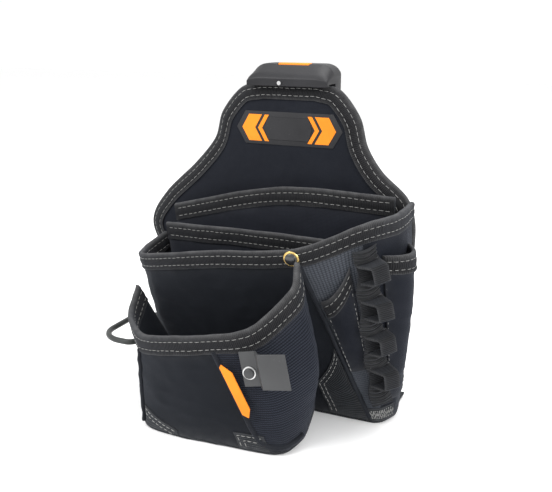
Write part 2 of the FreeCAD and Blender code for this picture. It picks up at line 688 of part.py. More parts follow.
def ears_and_gate():
    """Ears under the hook's arm, the gate that shuts the belt in, and its pin."""
    arm_middle = f"({ARM_FRONT} + {ARM_BACK}) / 2"
    pin_y = formula_value(arm_middle)
    pin_z = formula_value(BELT_BOTTOM) - size("arm_wall") / 2 - 1.5
    wide = size("arm_width")
    wall = size("arm_wall")
    knuckle = wall / 2 + 1
    turn = Rotation(Vector(0, 0, 1), Vector(1, 0, 0))

    def barrel(start, length, bore):
        placed = Placement(Vector(start, pin_y, pin_z), turn)
        solid = Part.makeCylinder(knuckle, length)
        solid.Placement = placed
        hole = Part.makeCylinder(bore, length + 2, Vector(0, 0, -1))
        hole.Placement = placed
        return solid, hole

    ears, holes = [], []
    for start in (-wide / 2, wide / 2 - 10):
        solid, hole = barrel(start, 10, size("pin_radius"))
        web = Part.makeBox(10, wall, knuckle + 1.5, Vector(start, pin_y - wall / 2, pin_z))
        ears.append(solid.fuse(web))
        holes.append(hole)
    ear_pair = doc.addObject("Part::Feature", "gate_ears")
    ear_pair.Shape = Part.makeCompound([ear.cut(hole) for ear, hole in zip(ears, holes)])
    whole = doc.addObject("Part::Fuse", "belt_hub_with_ears")
    whole.Base = parts["belt_hub"]
    whole.Tool = ear_pair
    parts["belt_hub"] = whole
    middle = wide - 20 - 0.8
    solid, hole = barrel(-middle / 2, middle, size("pin_radius") + size("pin_play"))
    front = formula_value(NECK_BACK + " + Sizes.arm_wall") + 0.5
    leaf = Part.makeBox(middle, pin_y - front, size("gate_wall") - 1.5,
                        Vector(-middle / 2, front, pin_z - size("gate_wall") / 2 + 0.5))
    keep("belt_gate", solid.fuse(leaf).cut(hole))
    pin = cylinder("gate_pin", "Sizes.pin_radius", "Sizes.arm_width",
                   Placement(Vector(-wide / 2, pin_y, pin_z), turn))
    return pin


def release_button():
    """The orange button in the top of the hood, and the spring under it."""
    body = new_body("release_button")
    cap = polygon(body, "XY_Plane", "button_cap",
                  rectangle("-Sizes.button_width / 2", "Sizes.button_width / 2",
                            BUTTON_FRONT, BUTTON_FRONT + " + Sizes.button_deep"), BUTTON_FOOT)
    pad(body, cap, f"{BUTTON_TOP} - {BUTTON_FOOT}")
    doc.recompute()
    top, bottom = formula_value(BUTTON_FOOT), formula_value(WELL_FLOOR)
    wire, pitch, gap = size("spring_wire"), 2.2, 0.1
    helix = Part.makeHelix(pitch, top - bottom - 2 * (wire + gap), size("spring_radius") - wire)
    circle = Part.Wire(Part.makeCircle(wire, Vector(size("spring_radius") - wire, 0, 0), Vector(0, 1, 0)))
    coil = Part.Wire(helix.Edges).makePipeShell([circle], True, True)
    place = Vector(0, formula_value(BUTTON_FRONT) + size("button_deep") / 2, bottom + wire + gap)
    keep("button_spring", coil, Placement(place, Rotation()))


def hood_rivets():
    """Steel rivet heads that hold the receiver's plate, and the hood's front rivet."""
    heads = []
    middle = formula_value(RAIL_OUT) + size("receiver_flange") / 2
    for x in (-middle, middle):
        for z in (formula_value(RECEIVER_BOTTOM) + 9, formula_value(HOOD_BOTTOM) - 12):
            heads.append(Part.makeCylinder(size("stud_radius"), size("stud_height"),
                                           Vector(x, formula_value(PLATE_BACK), z), Vector(0, 1, 0)))
    keep("receiver_rivets", Part.makeCompound(heads))
    front = Vector(-6, -size("hood_front"), formula_value(LIP_BOTTOM) + 3)
    cylinder("hood_rivet", "Sizes.stud_height", "Sizes.stud_height",
             Placement(front, Rotation(Vector(0, 0, 1), Vector(0, -1, 0))))


# ------------------------------------------------------------------ hardware
def tape_clip():
    """A bent steel clip for a tape measure, riveted to the front pocket."""
    body = new_body("tape_clip")
    foot, out, wall = "Sizes.clip_foot", "Sizes.clip_gap", "Sizes.clip_sheet"
    tongue = "Sizes.clip_foot + 5 + Sizes.clip_tongue"
    outline = polygon(body, "XZ_Plane", "clip_profile", [
        ("0", "0"), (foot, "0"), (foot + " + 4", out), (tongue, out + " + 2"),
        (tongue, out + " + 2 + " + wall), (foot + " + 3", out + " + " + wall),
        (foot + " - 1", wall), ("0", wall)])
    pad(body, outline, "Sizes.clip_tall", True)
    body.Placement = FRONT.frame(4.55, 0.73, FABRIC + 3.2)
    doc.recompute()
    seat = Vector(size("clip_foot") / 2 - 1, -3, size("clip_sheet"))
    cylinder("clip_washer", "Sizes.clip_washer_radius", "Sizes.ring_height",
             body.Placement.multiply(Placement(seat, Rotation())))
    raised = seat + Vector(0, 0, size("ring_height"))
    cylinder("clip_rivet", "Sizes.clip_rivet_radius", "Sizes.rivet_height",
             body.Placement.multiply(Placement(raised, Rotation())))


def rivets():
    """The rim's cap rivet with its brass ring, and the tape clip's rivet."""
    spot = MAIN.frame(3.93, MAIN.rise(3.93, size("band_width") / 2), FABRIC + LAP)
    cylinder("rim_rivet_ring", "Sizes.ring_radius", "Sizes.ring_height", spot)
    raised = spot.multiply(Placement(Vector(0, 0, size("ring_height")), Rotation()))
    cylinder("rim_rivet", "Sizes.rivet_radius", "Sizes.rivet_height", raised)


def label_tab():
    """A plain folded tab with slanted ends, caught in the front pocket's seam."""
    body = new_body("label_tab")
    end, wide = "Sizes.tab_length", "Sizes.tab_width"
    outline = polygon(body, "XY_Plane", "tab_outline", [
        ("0", "4"), (wide + " / 2", "0"), (wide, "7"),
        (wide, end + " - 9"), (wide + " / 2 - 2", end), ("0", end + " - 2")])
    pad(body, outline, "Sizes.tab_sheet")
    depth = FABRIC + 2 * size("piping_radius") + 0.4
    foot, head = FRONT.point(4.06, 0.31, depth), FRONT.point(4.06, 0.86, depth)
    along = head - foot
    normal = FRONT.normal(4.2, 0.5)
    body.Placement = Placement(foot, Rotation(along.cross(normal), along, normal, "YZX"))
    doc.recompute()
    return body


# ----------------------------------------------------------------- hammer loop
def hammer_loop():
    """A closed loop of coated rod in a sewn sleeve on the left side of the bag."""
    radius, bore = size("rod_radius"), size("rod_radius") + size("rod_play")
    outer = bore + size("sleeve_wall")
    high = size("hammer_height")
    wall_side = MAIN.point(0.7, high / size("rim_left"), FABRIC).x
    inner = wall_side - outer - SEAM_GAP
    far = inner - size("hammer_reach")
    back = -size("hammer_back")
    front = back - size("hammer_span")
    # each corner of the loop: its place, its bend radius and the way the rod leaves it
    tight, wide = 9, 24
    corners = [(inner, front, tight, (-1, 0)), (far, front, wide, (0, 1)),
               (far, back, wide, (1, 0)), (inner, back, tight, (0, -1))]
    pieces = []
    x0, y0, bend0, leave0 = corners[-1]
    start = Vector(x0 + bend0 * leave0[0], y0 + bend0 * leave0[1], high)
    for x, y, bend, leave in corners:
        arrive = Vector(*turned_back(leave), 0)
        end = Vector(x, y, high) - arrive * bend
        pieces.append(Part.makeCylinder(radius, (end - start).Length, start, end - start))
        centre = end + Vector(leave[0], leave[1], 0) * bend
        ring = Part.Face(Part.Wire(Part.makeCircle(radius, end, arrive)))
        pieces.append(ring.revolve(centre, Vector(0, 0, 1), -90))
        start = Vector(x, y, high) + Vector(leave[0], leave[1], 0) * bend
    keep("hammer_loop", pieces[0].fuse(pieces[1:]))
    span = size("sleeve_span")
    seat = Vector(inner, back - size("sleeve_drop"), high)
    down_bar = Vector(0, -1, 0)
    tube = Part.makeCylinder(outer, span, seat, down_bar).cut(Part.makeCylinder(bore, span, seat, down_bar))
    keep("hammer_loop_sleeve", tube)


def turned_back(leave):
    """The way the rod arrives at a corner, a quarter turn before the way it leaves."""
    return -leave[1], leave[0]


main_bag()
front_pocket()
piped_seams()
corner_patches()
inner_pockets()
slant_pocket()
pen_pocket()
tool_loops()
back_panel()
badge()
receiver()
hub()
ears_and_gate()
release_button()
hood_rivets()
tape_clip()
rivets()
label_tab()
hammer_loop()
doc.recompute()

# ------------------------------------------------------------- checks and export
for item in doc.Objects:
    if any(state in ("Invalid", "Error") for state in item.State):
        raise RuntimeError(f"{item.Label} could not be built: {item.State}")
for name, piece in parts.items():
    if piece.Shape.isNull() or not piece.Shape.isValid():
        raise RuntimeError(f"{name} has no valid shape")

os.makedirs("parts", exist_ok=True)
for name, piece in parts.items():
    piece.Shape.exportStep(os.path.join("parts", name + ".step"))
print(len(parts), "pieces written")
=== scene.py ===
import math
import random

import bmesh
import bpy
import numpy as np
from mathutils import Matrix, Vector, noise


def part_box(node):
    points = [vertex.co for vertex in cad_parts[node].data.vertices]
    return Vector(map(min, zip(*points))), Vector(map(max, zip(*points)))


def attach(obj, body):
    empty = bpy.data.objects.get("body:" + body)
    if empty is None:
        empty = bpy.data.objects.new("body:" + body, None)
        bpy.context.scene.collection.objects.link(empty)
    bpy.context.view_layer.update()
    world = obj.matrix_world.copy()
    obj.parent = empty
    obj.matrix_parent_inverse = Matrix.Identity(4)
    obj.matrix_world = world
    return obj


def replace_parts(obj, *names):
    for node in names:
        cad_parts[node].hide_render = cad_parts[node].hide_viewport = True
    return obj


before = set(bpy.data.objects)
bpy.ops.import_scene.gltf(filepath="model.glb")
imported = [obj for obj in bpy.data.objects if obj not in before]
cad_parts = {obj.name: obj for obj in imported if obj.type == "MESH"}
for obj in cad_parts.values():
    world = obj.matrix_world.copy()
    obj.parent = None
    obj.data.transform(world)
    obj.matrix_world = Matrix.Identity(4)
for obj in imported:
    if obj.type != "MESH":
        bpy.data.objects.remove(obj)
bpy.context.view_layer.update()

# Electrician's tool pouch.  Everything is in metres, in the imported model's own frame:
# +Z up, -Y towards the front, the origin under the base at the back panel's face.

MM = 0.001
CHANCE = random.Random(7)

# ------------------------------------------------------------------ driving sizes
BASE_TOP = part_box("main_base")[1].z
PANEL_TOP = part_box("back_panel_binding")[1].z
HALF_BAG = 118 * MM
DEPTH = 86 * MM
FABRIC = 2.4 * MM
LAP = 1.3 * MM                # how far a binding stands out over the fabric
BAND = 17 * MM                # width of a folded binding
BACK_GAP = 2 * MM
RIM_LEFT, RIM_FRONT, RIM_RIGHT = 132 * MM, 156 * MM, 190 * MM
POCKET_WIDE, POCKET_DEEP = 150 * MM, 98 * MM
POCKET_LOW, POCKET_HIGH = 86 * MM, 154 * MM
PATCH = 1.1 * MM
ROWS = (5.2 * MM, 12.6 * MM)  # how far below a rim its two rows of stitches run
LEFT_STAND, RIGHT_STAND = 6.9 * MM, 9.5 * MM  # how far the front pocket's mouth stands off the main bag
CLOTH_ROUGH = 0.86


def mix(low, high, share):
    """The value a share of the way from low to high."""
    return low + (high - low) * share


def soft_step(low, high, value):
    """0 below low, 1 above high, smooth between."""
    share = np.clip((value - low) / (high - low), 0, 1)
    return share * share * (3 - 2 * share)


def unit(vectors):
    return vectors / np.linalg.norm(vectors, axis=-1, keepdims=True)


def cloud(points, scale, seed):
    """Smooth noise from -1 to 1 at each point; scale is the size of its features."""
    flat = (points / scale).reshape(-1, 3)
    shift = Vector((seed * 11.3, seed * 5.7, seed * 2.9))
    values = [noise.noise(Vector(point) + shift) for point in flat]
    return np.array(values).reshape(points.shape[:-1])


# ------------------------------------------------------------------ node materials
class Shader:
    """A material being built from nodes round one Principled shader."""

    def __init__(self, name, **settings):
        self.material = bpy.data.materials.new(name)
        self.material.use_nodes = True
        self.nodes = self.material.node_tree.nodes
        self.links = self.material.node_tree.links
        self.bsdf = self.nodes["Principled BSDF"]
        for socket, value in settings.items():
            self.bsdf.inputs[socket.replace("_", " ")].default_value = value

    def feed(self, socket, value):
        if isinstance(value, bpy.types.NodeSocket):
            self.links.new(value, socket)
        else:
            socket.default_value = value

    def node(self, kind, **inputs):
        made = self.nodes.new(kind)
        for name, value in inputs.items():
            self.feed(made.inputs[name.replace("_", " ")], value)
        return made

    def math(self, operation, first, second=0.0):
        made = self.nodes.new("ShaderNodeMath")
        made.operation = operation
        self.feed(made.inputs[0], first)
        self.feed(made.inputs[1], second)
        return made.outputs[0]

    def wave(self, place, pitch):
        """A wave from 0 to 1 that repeats every pitch."""
        angle = self.math("MULTIPLY", place, 2 * math.pi / pitch)
        return self.lift(self.math("SINE", angle))

    def lift(self, value):
        """From -1..1 to 0..1."""
        return self.math("ADD", self.math("MULTIPLY", value, 0.5), 0.5)

    def blend(self, share, first, second):
        """A mix of two numbers."""
        made = self.nodes.new("ShaderNodeMix")
        for place, value in zip((0, 2, 3), (share, first, second)):
            self.feed(made.inputs[place], value)
        return made.outputs[0]

    def colour(self, share, first, second):
        """A mix of two colours."""
        made = self.nodes.new("ShaderNodeMix")
        made.data_type = "RGBA"
        for place, value in zip((0, 6, 7), (share, first, second)):
            self.feed(made.inputs[place], value)
        return made.outputs[2]

    def noise(self, scale, detail=3.0, rough=0.55, place=None):
        made = self.node("ShaderNodeTexNoise", Scale=scale, Detail=detail, Roughness=rough)
        self.links.new(place or self.node("ShaderNodeTexCoord").outputs["Object"], made.inputs["Vector"])
        return made.outputs["Fac"]

    def cloth_place(self):
        """The place on the cloth along and up the weave, in metres."""
        made = self.nodes.new("ShaderNodeUVMap")
        made.uv_map = "weave"
        split = self.node("ShaderNodeSeparateXYZ", Vector=made.outputs[0])
        return split.outputs[0], split.outputs[1]

    def worn(self):
        """How rubbed the surface is here, from the mesh."""
        made = self.nodes.new("ShaderNodeAttribute")
        made.attribute_name = "wear"
        return made.outputs["Fac"]

    def finish(self, colour, height, distance, rough=None):
        """Joins up the colour, the relief and the roughness, and gives back the material."""
        self.links.new(colour, self.bsdf.inputs["Base Color"])
        relief = self.node("ShaderNodeBump", Height=height, Distance=distance, Strength=1.0)
        self.links.new(relief.outputs[0], self.bsdf.inputs["Normal"])
        if rough is not None:
            self.links.new(rough, self.bsdf.inputs["Roughness"])
        return self.material


def rgb(red, green, blue):
    return (red, green, blue, 1.0)


def scaled(colour, factor, lift=0.0):
    """A colour made darker or lighter."""
    return rgb(*[min(1, c * factor + lift) for c in colour])


def dusted(colour, grey, share):
    """A colour taken part of the way to a grey."""
    return rgb(*[mix(c, grey, share) for c in colour])


def plain_weave(shader, along, up, pitch):
    """The height of over-and-under threads."""
    x, y = (shader.math("DIVIDE", place, pitch) for place in (along, up))
    hump_x, hump_y = (shader.math("SINE", shader.math("MULTIPLY", shader.math("FRACT", place), math.pi))
                      for place in (x, y))
    cell = shader.math("ADD", shader.math("FLOOR", x), shader.math("FLOOR", y))
    side = shader.math("MODULO", shader.math("ABSOLUTE", cell), 2.0)
    warp = shader.math("MULTIPLY", shader.math("POWER", hump_x, 0.6), shader.lift(hump_y))
    weft = shader.math("MULTIPLY", shader.math("POWER", hump_y, 0.6), shader.lift(hump_x))
    return shader.blend(side, warp, weft)


def ribbed_weave(shader, along, up, pitch):
    """Heavy level ribs, each broken into short floats."""
    rib = shader.wave(up, pitch)
    floats = shader.wave(shader.math("ADD", along, shader.math("MULTIPLY", up, 0.5)), pitch * 0.8)
    return shader.math("MULTIPLY", shader.math("POWER", rib, 0.7), shader.blend(0.45, 1.0, floats))


def twill_weave(shader, along, up, pitch):
    """Fine diagonal lines crossed by single threads."""
    line = shader.wave(shader.math("ADD", along, up), pitch)
    thread = shader.wave(shader.math("SUBTRACT", along, up), pitch * 0.5)
    return shader.blend(0.3, line, thread)


def tape_weave(shader, along, up, pitch):
    """Grosgrain: close ribs across the tape."""
    rib = shader.wave(along, pitch)
    thread = shader.wave(up, pitch * 0.55)
    return shader.blend(0.25, rib, thread)


def cloth(name, weave, pitch, dark, light, depth, dust=0.2):
    """A woven fabric: threads a pitch of millimetres apart, coloured darker in the grooves and lighter on the
    thread tops (painted shade and painted light following the weave's relief), uneven dye, and dusty wear
    where it rubs.
    """
    shader = Shader(name, Roughness=CLOTH_ROUGH, Sheen_Weight=0.06, Sheen_Roughness=0.45,
                    Sheen_Tint=rgb(0.75, 0.82, 1.0), Specular_IOR_Level=0.12)
    pitch *= MM
    along, up = shader.cloth_place()
    wobble = shader.math("MULTIPLY", shader.math("SUBTRACT", shader.noise(90.0, 2.0), 0.5), pitch * 0.5)
    height = weave(shader, shader.math("ADD", along, wobble), shader.math("ADD", up, wobble), pitch)
    # Colour follows the weave's height: painted shade in the grooves between threads, painted light on the
    # thread tops.
    dye_and_groove_shade = shader.colour(height, rgb(*dark), rgb(*light))
    patchy = shader.noise(22.0, 4.0)
    # Real uneven dye patches laid over the painted groove shade.
    dye_and_groove_shade = shader.colour(shader.math("MULTIPLY", patchy, 0.5), dye_and_groove_shade, scaled(dark, 0.45))
    scuffed = shader.math("MULTIPLY", shader.noise(160.0, 5.0), dust * 2)
    rubbed = shader.colour(shader.math("MULTIPLY", shader.worn(), scuffed), dye_and_groove_shade, dusted(light, 0.32, 0.35))
    relief = shader.math("ADD", height, shader.math("MULTIPLY", shader.noise(900.0, 2.0), 0.35))
    return shader.finish(rubbed, relief, depth, shader.blend(patchy, CLOTH_ROUGH - 0.12, CLOTH_ROUGH + 0.1))


def moulded(name, base, rough, grain=0.00012, coat=0.0, metal=0.0, scuff=0.25, shine=0.5):
    """A moulded or coated surface with fine grain, slight colour drift and scuffs."""
    shader = Shader(name, Metallic=metal, Coat_Weight=coat, Coat_Roughness=0.3, Specular_IOR_Level=shine)
    grains = shader.noise(700.0, 3.0)
    drift = shader.noise(30.0, 4.0)
    shaded = shader.colour(drift, scaled(base, 0.72), scaled(base, 1.25, 0.01))
    scratches = shader.noise(240.0, 6.0, 0.75)
    marks = shader.math("MULTIPLY", shader.math("GREATER_THAN", scratches, 0.66), scuff)
    marked = shader.colour(marks, shaded, dusted(base, 0.4, 0.3))
    return shader.finish(marked, grains, grain, shader.blend(drift, rough - 0.07, rough + 0.09))


def brushed(name, base, rough):
    """Metal with fine lines along one direction."""
    shader = Shader(name, Metallic=1.0)
    place = shader.node("ShaderNodeTexCoord").outputs["Object"]
    stretch = shader.nodes.new("ShaderNodeMapping")
    stretch.inputs["Scale"].default_value = (60.0, 60.0, 2600.0)
    shader.links.new(place, stretch.inputs["Vector"])
    lines = shader.noise(1.0, 4.0, 0.6, stretch.outputs[0])
    tone = shader.colour(lines, scaled(base, 0.8), scaled(base, 1.15))
    return shader.finish(tone, lines, 0.00004, shader.blend(lines, rough - 0.06, rough + 0.1))


def thread(name, base):
    """Sewing thread: twisted plies."""
    shader = Shader(name, Roughness=0.7, Sheen_Weight=0.3)
    fibres = shader.noise(1400.0, 2.0)
    return shader.finish(shader.colour(fibres, scaled(base, 0.55), rgb(*base)), fibres, 0.0001)


TWILL = cloth("twill", twill_weave, 1.5, (0.003, 0.004, 0.006), (0.014, 0.016, 0.021), 0.00016)
FINE_TWILL = cloth("fine_twill", twill_weave, 1.2, (0.003, 0.004, 0.007), (0.013, 0.015, 0.022), 0.00012)
BALLISTIC = cloth("ballistic", ribbed_weave, 2.3, (0.003, 0.004, 0.007), (0.026, 0.030, 0.043), 0.00045)
PATCH_CLOTH = cloth("patch_cloth", ribbed_weave, 2.0, (0.005, 0.006, 0.007), (0.042, 0.045, 0.050), 0.0005)
GREY_WEAVE = cloth("grey_weave", plain_weave, 1.9, (0.012, 0.014, 0.018), (0.085, 0.093, 0.110), 0.0004)
BINDING = cloth("binding", tape_weave, 1.5, (0.004, 0.004, 0.0045), (0.022, 0.022, 0.024), 0.00045, 0.4)
WEBBING = cloth("webbing", tape_weave, 1.7, (0.003, 0.003, 0.004), (0.019, 0.020, 0.022), 0.0005, 0.25)
CORDED = cloth("corded", twill_weave, 1.0, (0.003, 0.004, 0.006), (0.016, 0.018, 0.025), 0.0001)
LINING = cloth("lining", plain_weave, 1.2, (0.004, 0.005, 0.008), (0.020, 0.022, 0.030), 0.00012)
SPACER_MESH = cloth("spacer_mesh", plain_weave, 2.8, (0.004, 0.004, 0.005), (0.030, 0.032, 0.036), 0.0007)
THREAD = thread("grey_thread", (0.27, 0.27, 0.26))
DARK_THREAD = thread("dark_thread", (0.05, 0.05, 0.055))
HUB_PLASTIC = moulded("hub_plastic", (0.012, 0.012, 0.014), 0.42, 0.00008, scuff=0.12, shine=0.2)
ORANGE_PLASTIC = moulded("orange_plastic", (0.78, 0.22, 0.006), 0.45, 0.00005, scuff=0.08, shine=0.25)
ORANGE_RUBBER = moulded("orange_rubber", (0.78, 0.22, 0.008), 0.6, 0.00012, scuff=0.08, shine=0.2)
BADGE_RUBBER = moulded("badge_rubber", (0.018, 0.018, 0.02), 0.65, 0.0001, shine=0.2)
CLIP_STEEL = moulded("clip_steel", (0.042, 0.043, 0.045), 0.45, 0.00007, coat=0.1, metal=0.3,
                     scuff=0.2, shine=0.3)
BRIGHT_STEEL = brushed("bright_steel", (0.62, 0.62, 0.62), 0.28)
BLACK_CAP = moulded("black_cap", (0.013, 0.013, 0.014), 0.2, 0.00002, coat=0.5)
BRASS = brushed("brass", (0.78, 0.55, 0.2), 0.25)
COATED_ROD = moulded("coated_rod", (0.03, 0.033, 0.032), 0.4, 0.00006, shine=0.25)


# ------------------------------------------------------------------ mesh building
def grid_faces(rows, columns, start=0, loop=False):
    """Quads of a grid of vertices; with loop, the last column joins the first."""
    faces = []
    for i in range(rows - 1):
        for j in range(columns if loop else columns - 1):
            k = (j + 1) % columns
            faces.append((start + i * columns + j, start + (i + 1) * columns + j,
                          start + (i + 1) * columns + k, start + i * columns + k))
    return faces


def closed_faces(rings, count, start=0):
    """Faces of a tube of rings of vertices, with both ends closed."""
    last = start + (rings - 1) * count
    ends = [tuple(start + k for k in range(count)), tuple(last + k for k in reversed(range(count)))]
    return grid_faces(rings, count, start, True) + ends


def piece(name, vertices, faces, material, weave=None, wear=None, sharp=50, body="pouch"):
    """A mesh object in the model's frame, riding on a body."""
    mesh = bpy.data.meshes.new(name)
    mesh.from_pydata([tuple(v) for v in vertices], [], [tuple(f) for f in faces])
    if weave is not None:
        corner = np.empty(len(mesh.loops), int)
        mesh.loops.foreach_get("vertex_index", corner)
        layer = mesh.uv_layers.new(name="weave")
        layer.data.foreach_set("uv", np.asarray(weave, np.float32)[corner].ravel())
    if wear is not None:
        rubbed = mesh.attributes.new("wear", "FLOAT", "POINT")
        rubbed.data.foreach_set("value", np.asarray(wear, np.float32))
    shape = bmesh.new()
    shape.from_mesh(mesh)
    bmesh.ops.recalc_face_normals(shape, faces=shape.faces)
    shape.to_mesh(mesh)
    shape.free()
    mesh.shade_smooth()
    mesh.set_sharp_from_angle(angle=math.radians(sharp))
    made = bpy.data.objects.new(name, mesh)
    bpy.context.scene.collection.objects.link(made)
    mesh.materials.append(material)
    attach(made, body)
    return made


def lengths(points):
    """The distance run along a row of points."""
    return np.concatenate([[0], np.cumsum(np.linalg.norm(np.diff(points, axis=0), axis=1))])


def resampled(points, run, at):
    """A row of points read off at other distances along it."""
    return np.stack([np.interp(at, run, column) for column in points.T], -1)


def shell(name, outer, inner, material, wear=None, turned=False):
    """A closed sheet between two grids of points, with its weave laid along them."""
    rows, columns = outer.shape[:2]
    faces = grid_faces(rows, columns)
    count = rows * columns
    faces += [tuple(count + k for k in reversed(face)) for face in grid_faces(rows, columns)]
    border = [(i, 0) for i in range(rows)] + [(rows - 1, j) for j in range(1, columns)]
    border += [(i, columns - 1) for i in range(rows - 2, -1, -1)]
    border += [(0, j) for j in range(columns - 2, 0, -1)]
    ring = [i * columns + j for i, j in border]
    for a, b in zip(ring, ring[1:] + ring[:1]):
        faces.append((b, a, a + count, b + count))
    along = lengths(outer[:, columns // 2])
    up = lengths(outer[rows // 2])
    place = np.stack(np.meshgrid(along, up, indexing="ij"), -1).reshape(-1, 2)
    if turned:
        place = place[:, ::-1]
    worn = np.zeros(count) if wear is None else wear.reshape(-1)
    vertices = np.concatenate([outer.reshape(-1, 3), inner.reshape(-1, 3)])
    return piece(name, vertices, faces, material, np.tile(place, (2, 1)), np.tile(worn, 2))


# ------------------------------------------------------------------ sewn walls
class Wall:
    """An upright fabric wall, found from u (station), v (0 floor, 1 mouth) and depth (outwards)."""

    def __init__(self, floor, mouth, belly, seed, calm=()):
        self.floor = np.array([(x, y, BASE_TOP) for x, y in floor])
        self.mouth = np.array(mouth)
        self.belly = np.array([(x * MM, y * MM, 0) for x, y in belly])
        self.last = len(floor) - 1
        self.seed = seed
        self.calm = calm

    @staticmethod
    def smooth(points, u):
        """A smooth curve through the points whose runs are no longer than the nearer gap."""
        gaps = np.diff(points, axis=0)
        reach = np.linalg.norm(gaps, axis=1)
        runs = np.empty_like(points)
        runs[0], runs[-1] = gaps[0], gaps[-1]
        across = points[2:] - points[:-2]
        span = np.maximum(np.linalg.norm(across, axis=1), 1e-12)
        runs[1:-1] = across * (np.minimum(reach[1:], reach[:-1]) / span)[:, None]
        start = np.clip(np.floor(u).astype(int), 0, len(points) - 2)
        part = (u - start)[..., None]
        square, cube = part ** 2, part ** 3
        return (points[start] * (2 * cube - 3 * square + 1) + runs[start] * (cube - 2 * square + part)
                + points[start + 1] * (3 * square - 2 * cube) + runs[start + 1] * (cube - square))

    def face(self, u, v):
        u, v = np.broadcast_arrays(np.asarray(u, float), np.asarray(v, float))
        low, high = self.smooth(self.floor, u), self.smooth(self.mouth, u)
        swell = np.sin(math.pi * np.clip(v, 0, 1))[..., None]
        return low + (high - low) * v[..., None] + self.smooth(self.belly, u) * swell

    def axes(self, u, v):
        """The directions along and square to the wall."""
        step = 0.01
        along = self.face(np.minimum(u + step, self.last), v) - self.face(np.maximum(u - step, 0), v)
        up = self.face(u, np.minimum(v + step, 1)) - self.face(u, np.maximum(v - step, 0))
        return along, unit(np.cross(along, up))

    def outward(self, u, v):
        normal = self.axes(u, v)[1].copy()
        normal[..., 2] = 0
        return unit(normal)

    def rumple(self, place, u):
        """How far the cloth sags and creases at a place, fading at its ends and under hardware."""
        broad = cloud(place, 55 * MM, self.seed) * 1.7 * MM
        drag = place * np.array([1.0, 1.0, 2.2])
        creases = 0.35 - np.abs(cloud(drag, 30 * MM, self.seed + 3))
        fine = cloud(place, 9 * MM, self.seed + 5) * 0.22 * MM
        ends = np.clip(np.minimum(u, self.last - u) / 0.5, 0, 1)
        fade = np.ones_like(ends)
        for spot, radius in self.calm:
            far = np.linalg.norm(place - np.array(spot), axis=-1)
            fade = fade * soft_step(radius, 1.8 * radius, far)
        return (broad + creases * 1.4 * MM) * ends * fade + fine * fade

    def point(self, u, v, depth):
        u, v, depth = np.broadcast_arrays(*[np.asarray(value, float) for value in (u, v, depth)])
        place = self.face(u, v)
        return place + self.outward(u, v) * (depth + self.rumple(place, u))[..., None]

    def height(self, u):
        u = np.asarray(u, float)
        return np.linalg.norm(self.smooth(self.mouth, u) - self.smooth(self.floor, u), axis=-1)

    def rise(self, u, drop):
        """The v that lies a length below the mouth."""
        return 1 - drop / self.height(u)

    def width(self, left, right, v):
        """How far it is along the wall from one station to another."""
        line = self.face(np.linspace(left, right, 60), v)
        return float(np.linalg.norm(np.diff(line, axis=0), axis=1).sum())

    def stride(self, u, v):
        """How many metres one station is here."""
        return float(np.linalg.norm(self.axes(np.array(u), np.array(v))[0]) / 0.02)

    def frame(self, u, v, depth):
        """A matrix whose X runs along the wall, Y up it and Z out of it."""
        along, normal = self.axes(np.array(float(u)), np.array(float(v)))
        z = Vector(normal)
        x = (Vector(along) - z * Vector(along).dot(z)).normalized()
        level = Vector((z.x, z.y, 0)).normalized()
        spot = Vector(self.face(np.array(float(u)), np.array(float(v)))) + level * depth
        return Matrix.Translation(spot) @ Matrix((x, z.cross(x), z)).transposed().to_4x4()

    def path(self, corners, depth):
        """Points and outward directions along a line through (u, v) corners."""
        stations = []
        for (u0, v0), (u1, v1) in zip(corners, corners[1:]):
            start, end = self.face(np.array([u0, u1]), np.array([v0, v1]))
            count = max(2, int(np.linalg.norm(end - start) / (1.0 * MM)))
            stations += [(mix(u0, u1, i / count), mix(v0, v1, i / count)) for i in range(count)]
        stations.append(corners[-1])
        u, v = np.array(stations).T
        return self.point(u, v, depth), self.outward(u, v)


def node_spot(node, radius):
    """A calm spot round a CAD part: its middle and a radius."""
    low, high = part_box(node)
    return (low + high) / 2, radius


def main_wall():
    floor = [(-0.86 * HALF_BAG, -BACK_GAP), (-0.84 * HALF_BAG, -0.33 * DEPTH),
             (-0.75 * HALF_BAG, -0.53 * DEPTH), (-0.10 * HALF_BAG, -0.58 * DEPTH),
             (0.87 * HALF_BAG, -0.57 * DEPTH), (0.93 * HALF_BAG, -0.53 * DEPTH),
             (0.98 * HALF_BAG, -0.34 * DEPTH), (0.95 * HALF_BAG, -BACK_GAP)]
    mouth = [(-1.13 * HALF_BAG, -BACK_GAP, RIM_LEFT + 4 * MM),
             (-1.14 * HALF_BAG, -0.45 * DEPTH, RIM_LEFT - 4 * MM),
             (-0.94 * HALF_BAG, -0.82 * DEPTH, RIM_LEFT + 2 * MM),
             (-0.32 * HALF_BAG, -DEPTH, RIM_FRONT - 6 * MM),
             (0.37 * HALF_BAG, -1.02 * DEPTH, mix(RIM_FRONT, RIM_RIGHT, 0.17)),
             (0.82 * HALF_BAG, -0.92 * DEPTH, mix(RIM_FRONT, RIM_RIGHT, 0.87)),
             (0.97 * HALF_BAG, -0.54 * DEPTH, RIM_RIGHT - 1 * MM), (0.98 * HALF_BAG, -BACK_GAP, RIM_RIGHT)]
    belly = [(0, 0), (-2, 0), (-2, -3), (0, -4), (0, 0), (0, 0), (3, -1), (2, 0)]
    return Wall(floor, mouth, belly, 1, [node_spot("rim_rivet", 14 * MM)])


def main_front(x, z, left):
    """The y of the main bag's front at x and z, between station left and the next."""
    u = np.array([left, left + 1.0])
    v = (z - BASE_TOP) / (MAIN.smooth(MAIN.mouth, u)[:, 2] - BASE_TOP)
    near, far = MAIN.face(u, v) + MAIN.outward(u, v) * FABRIC
    return mix(near[1], far[1], (x - near[0]) / (far[0] - near[0]))


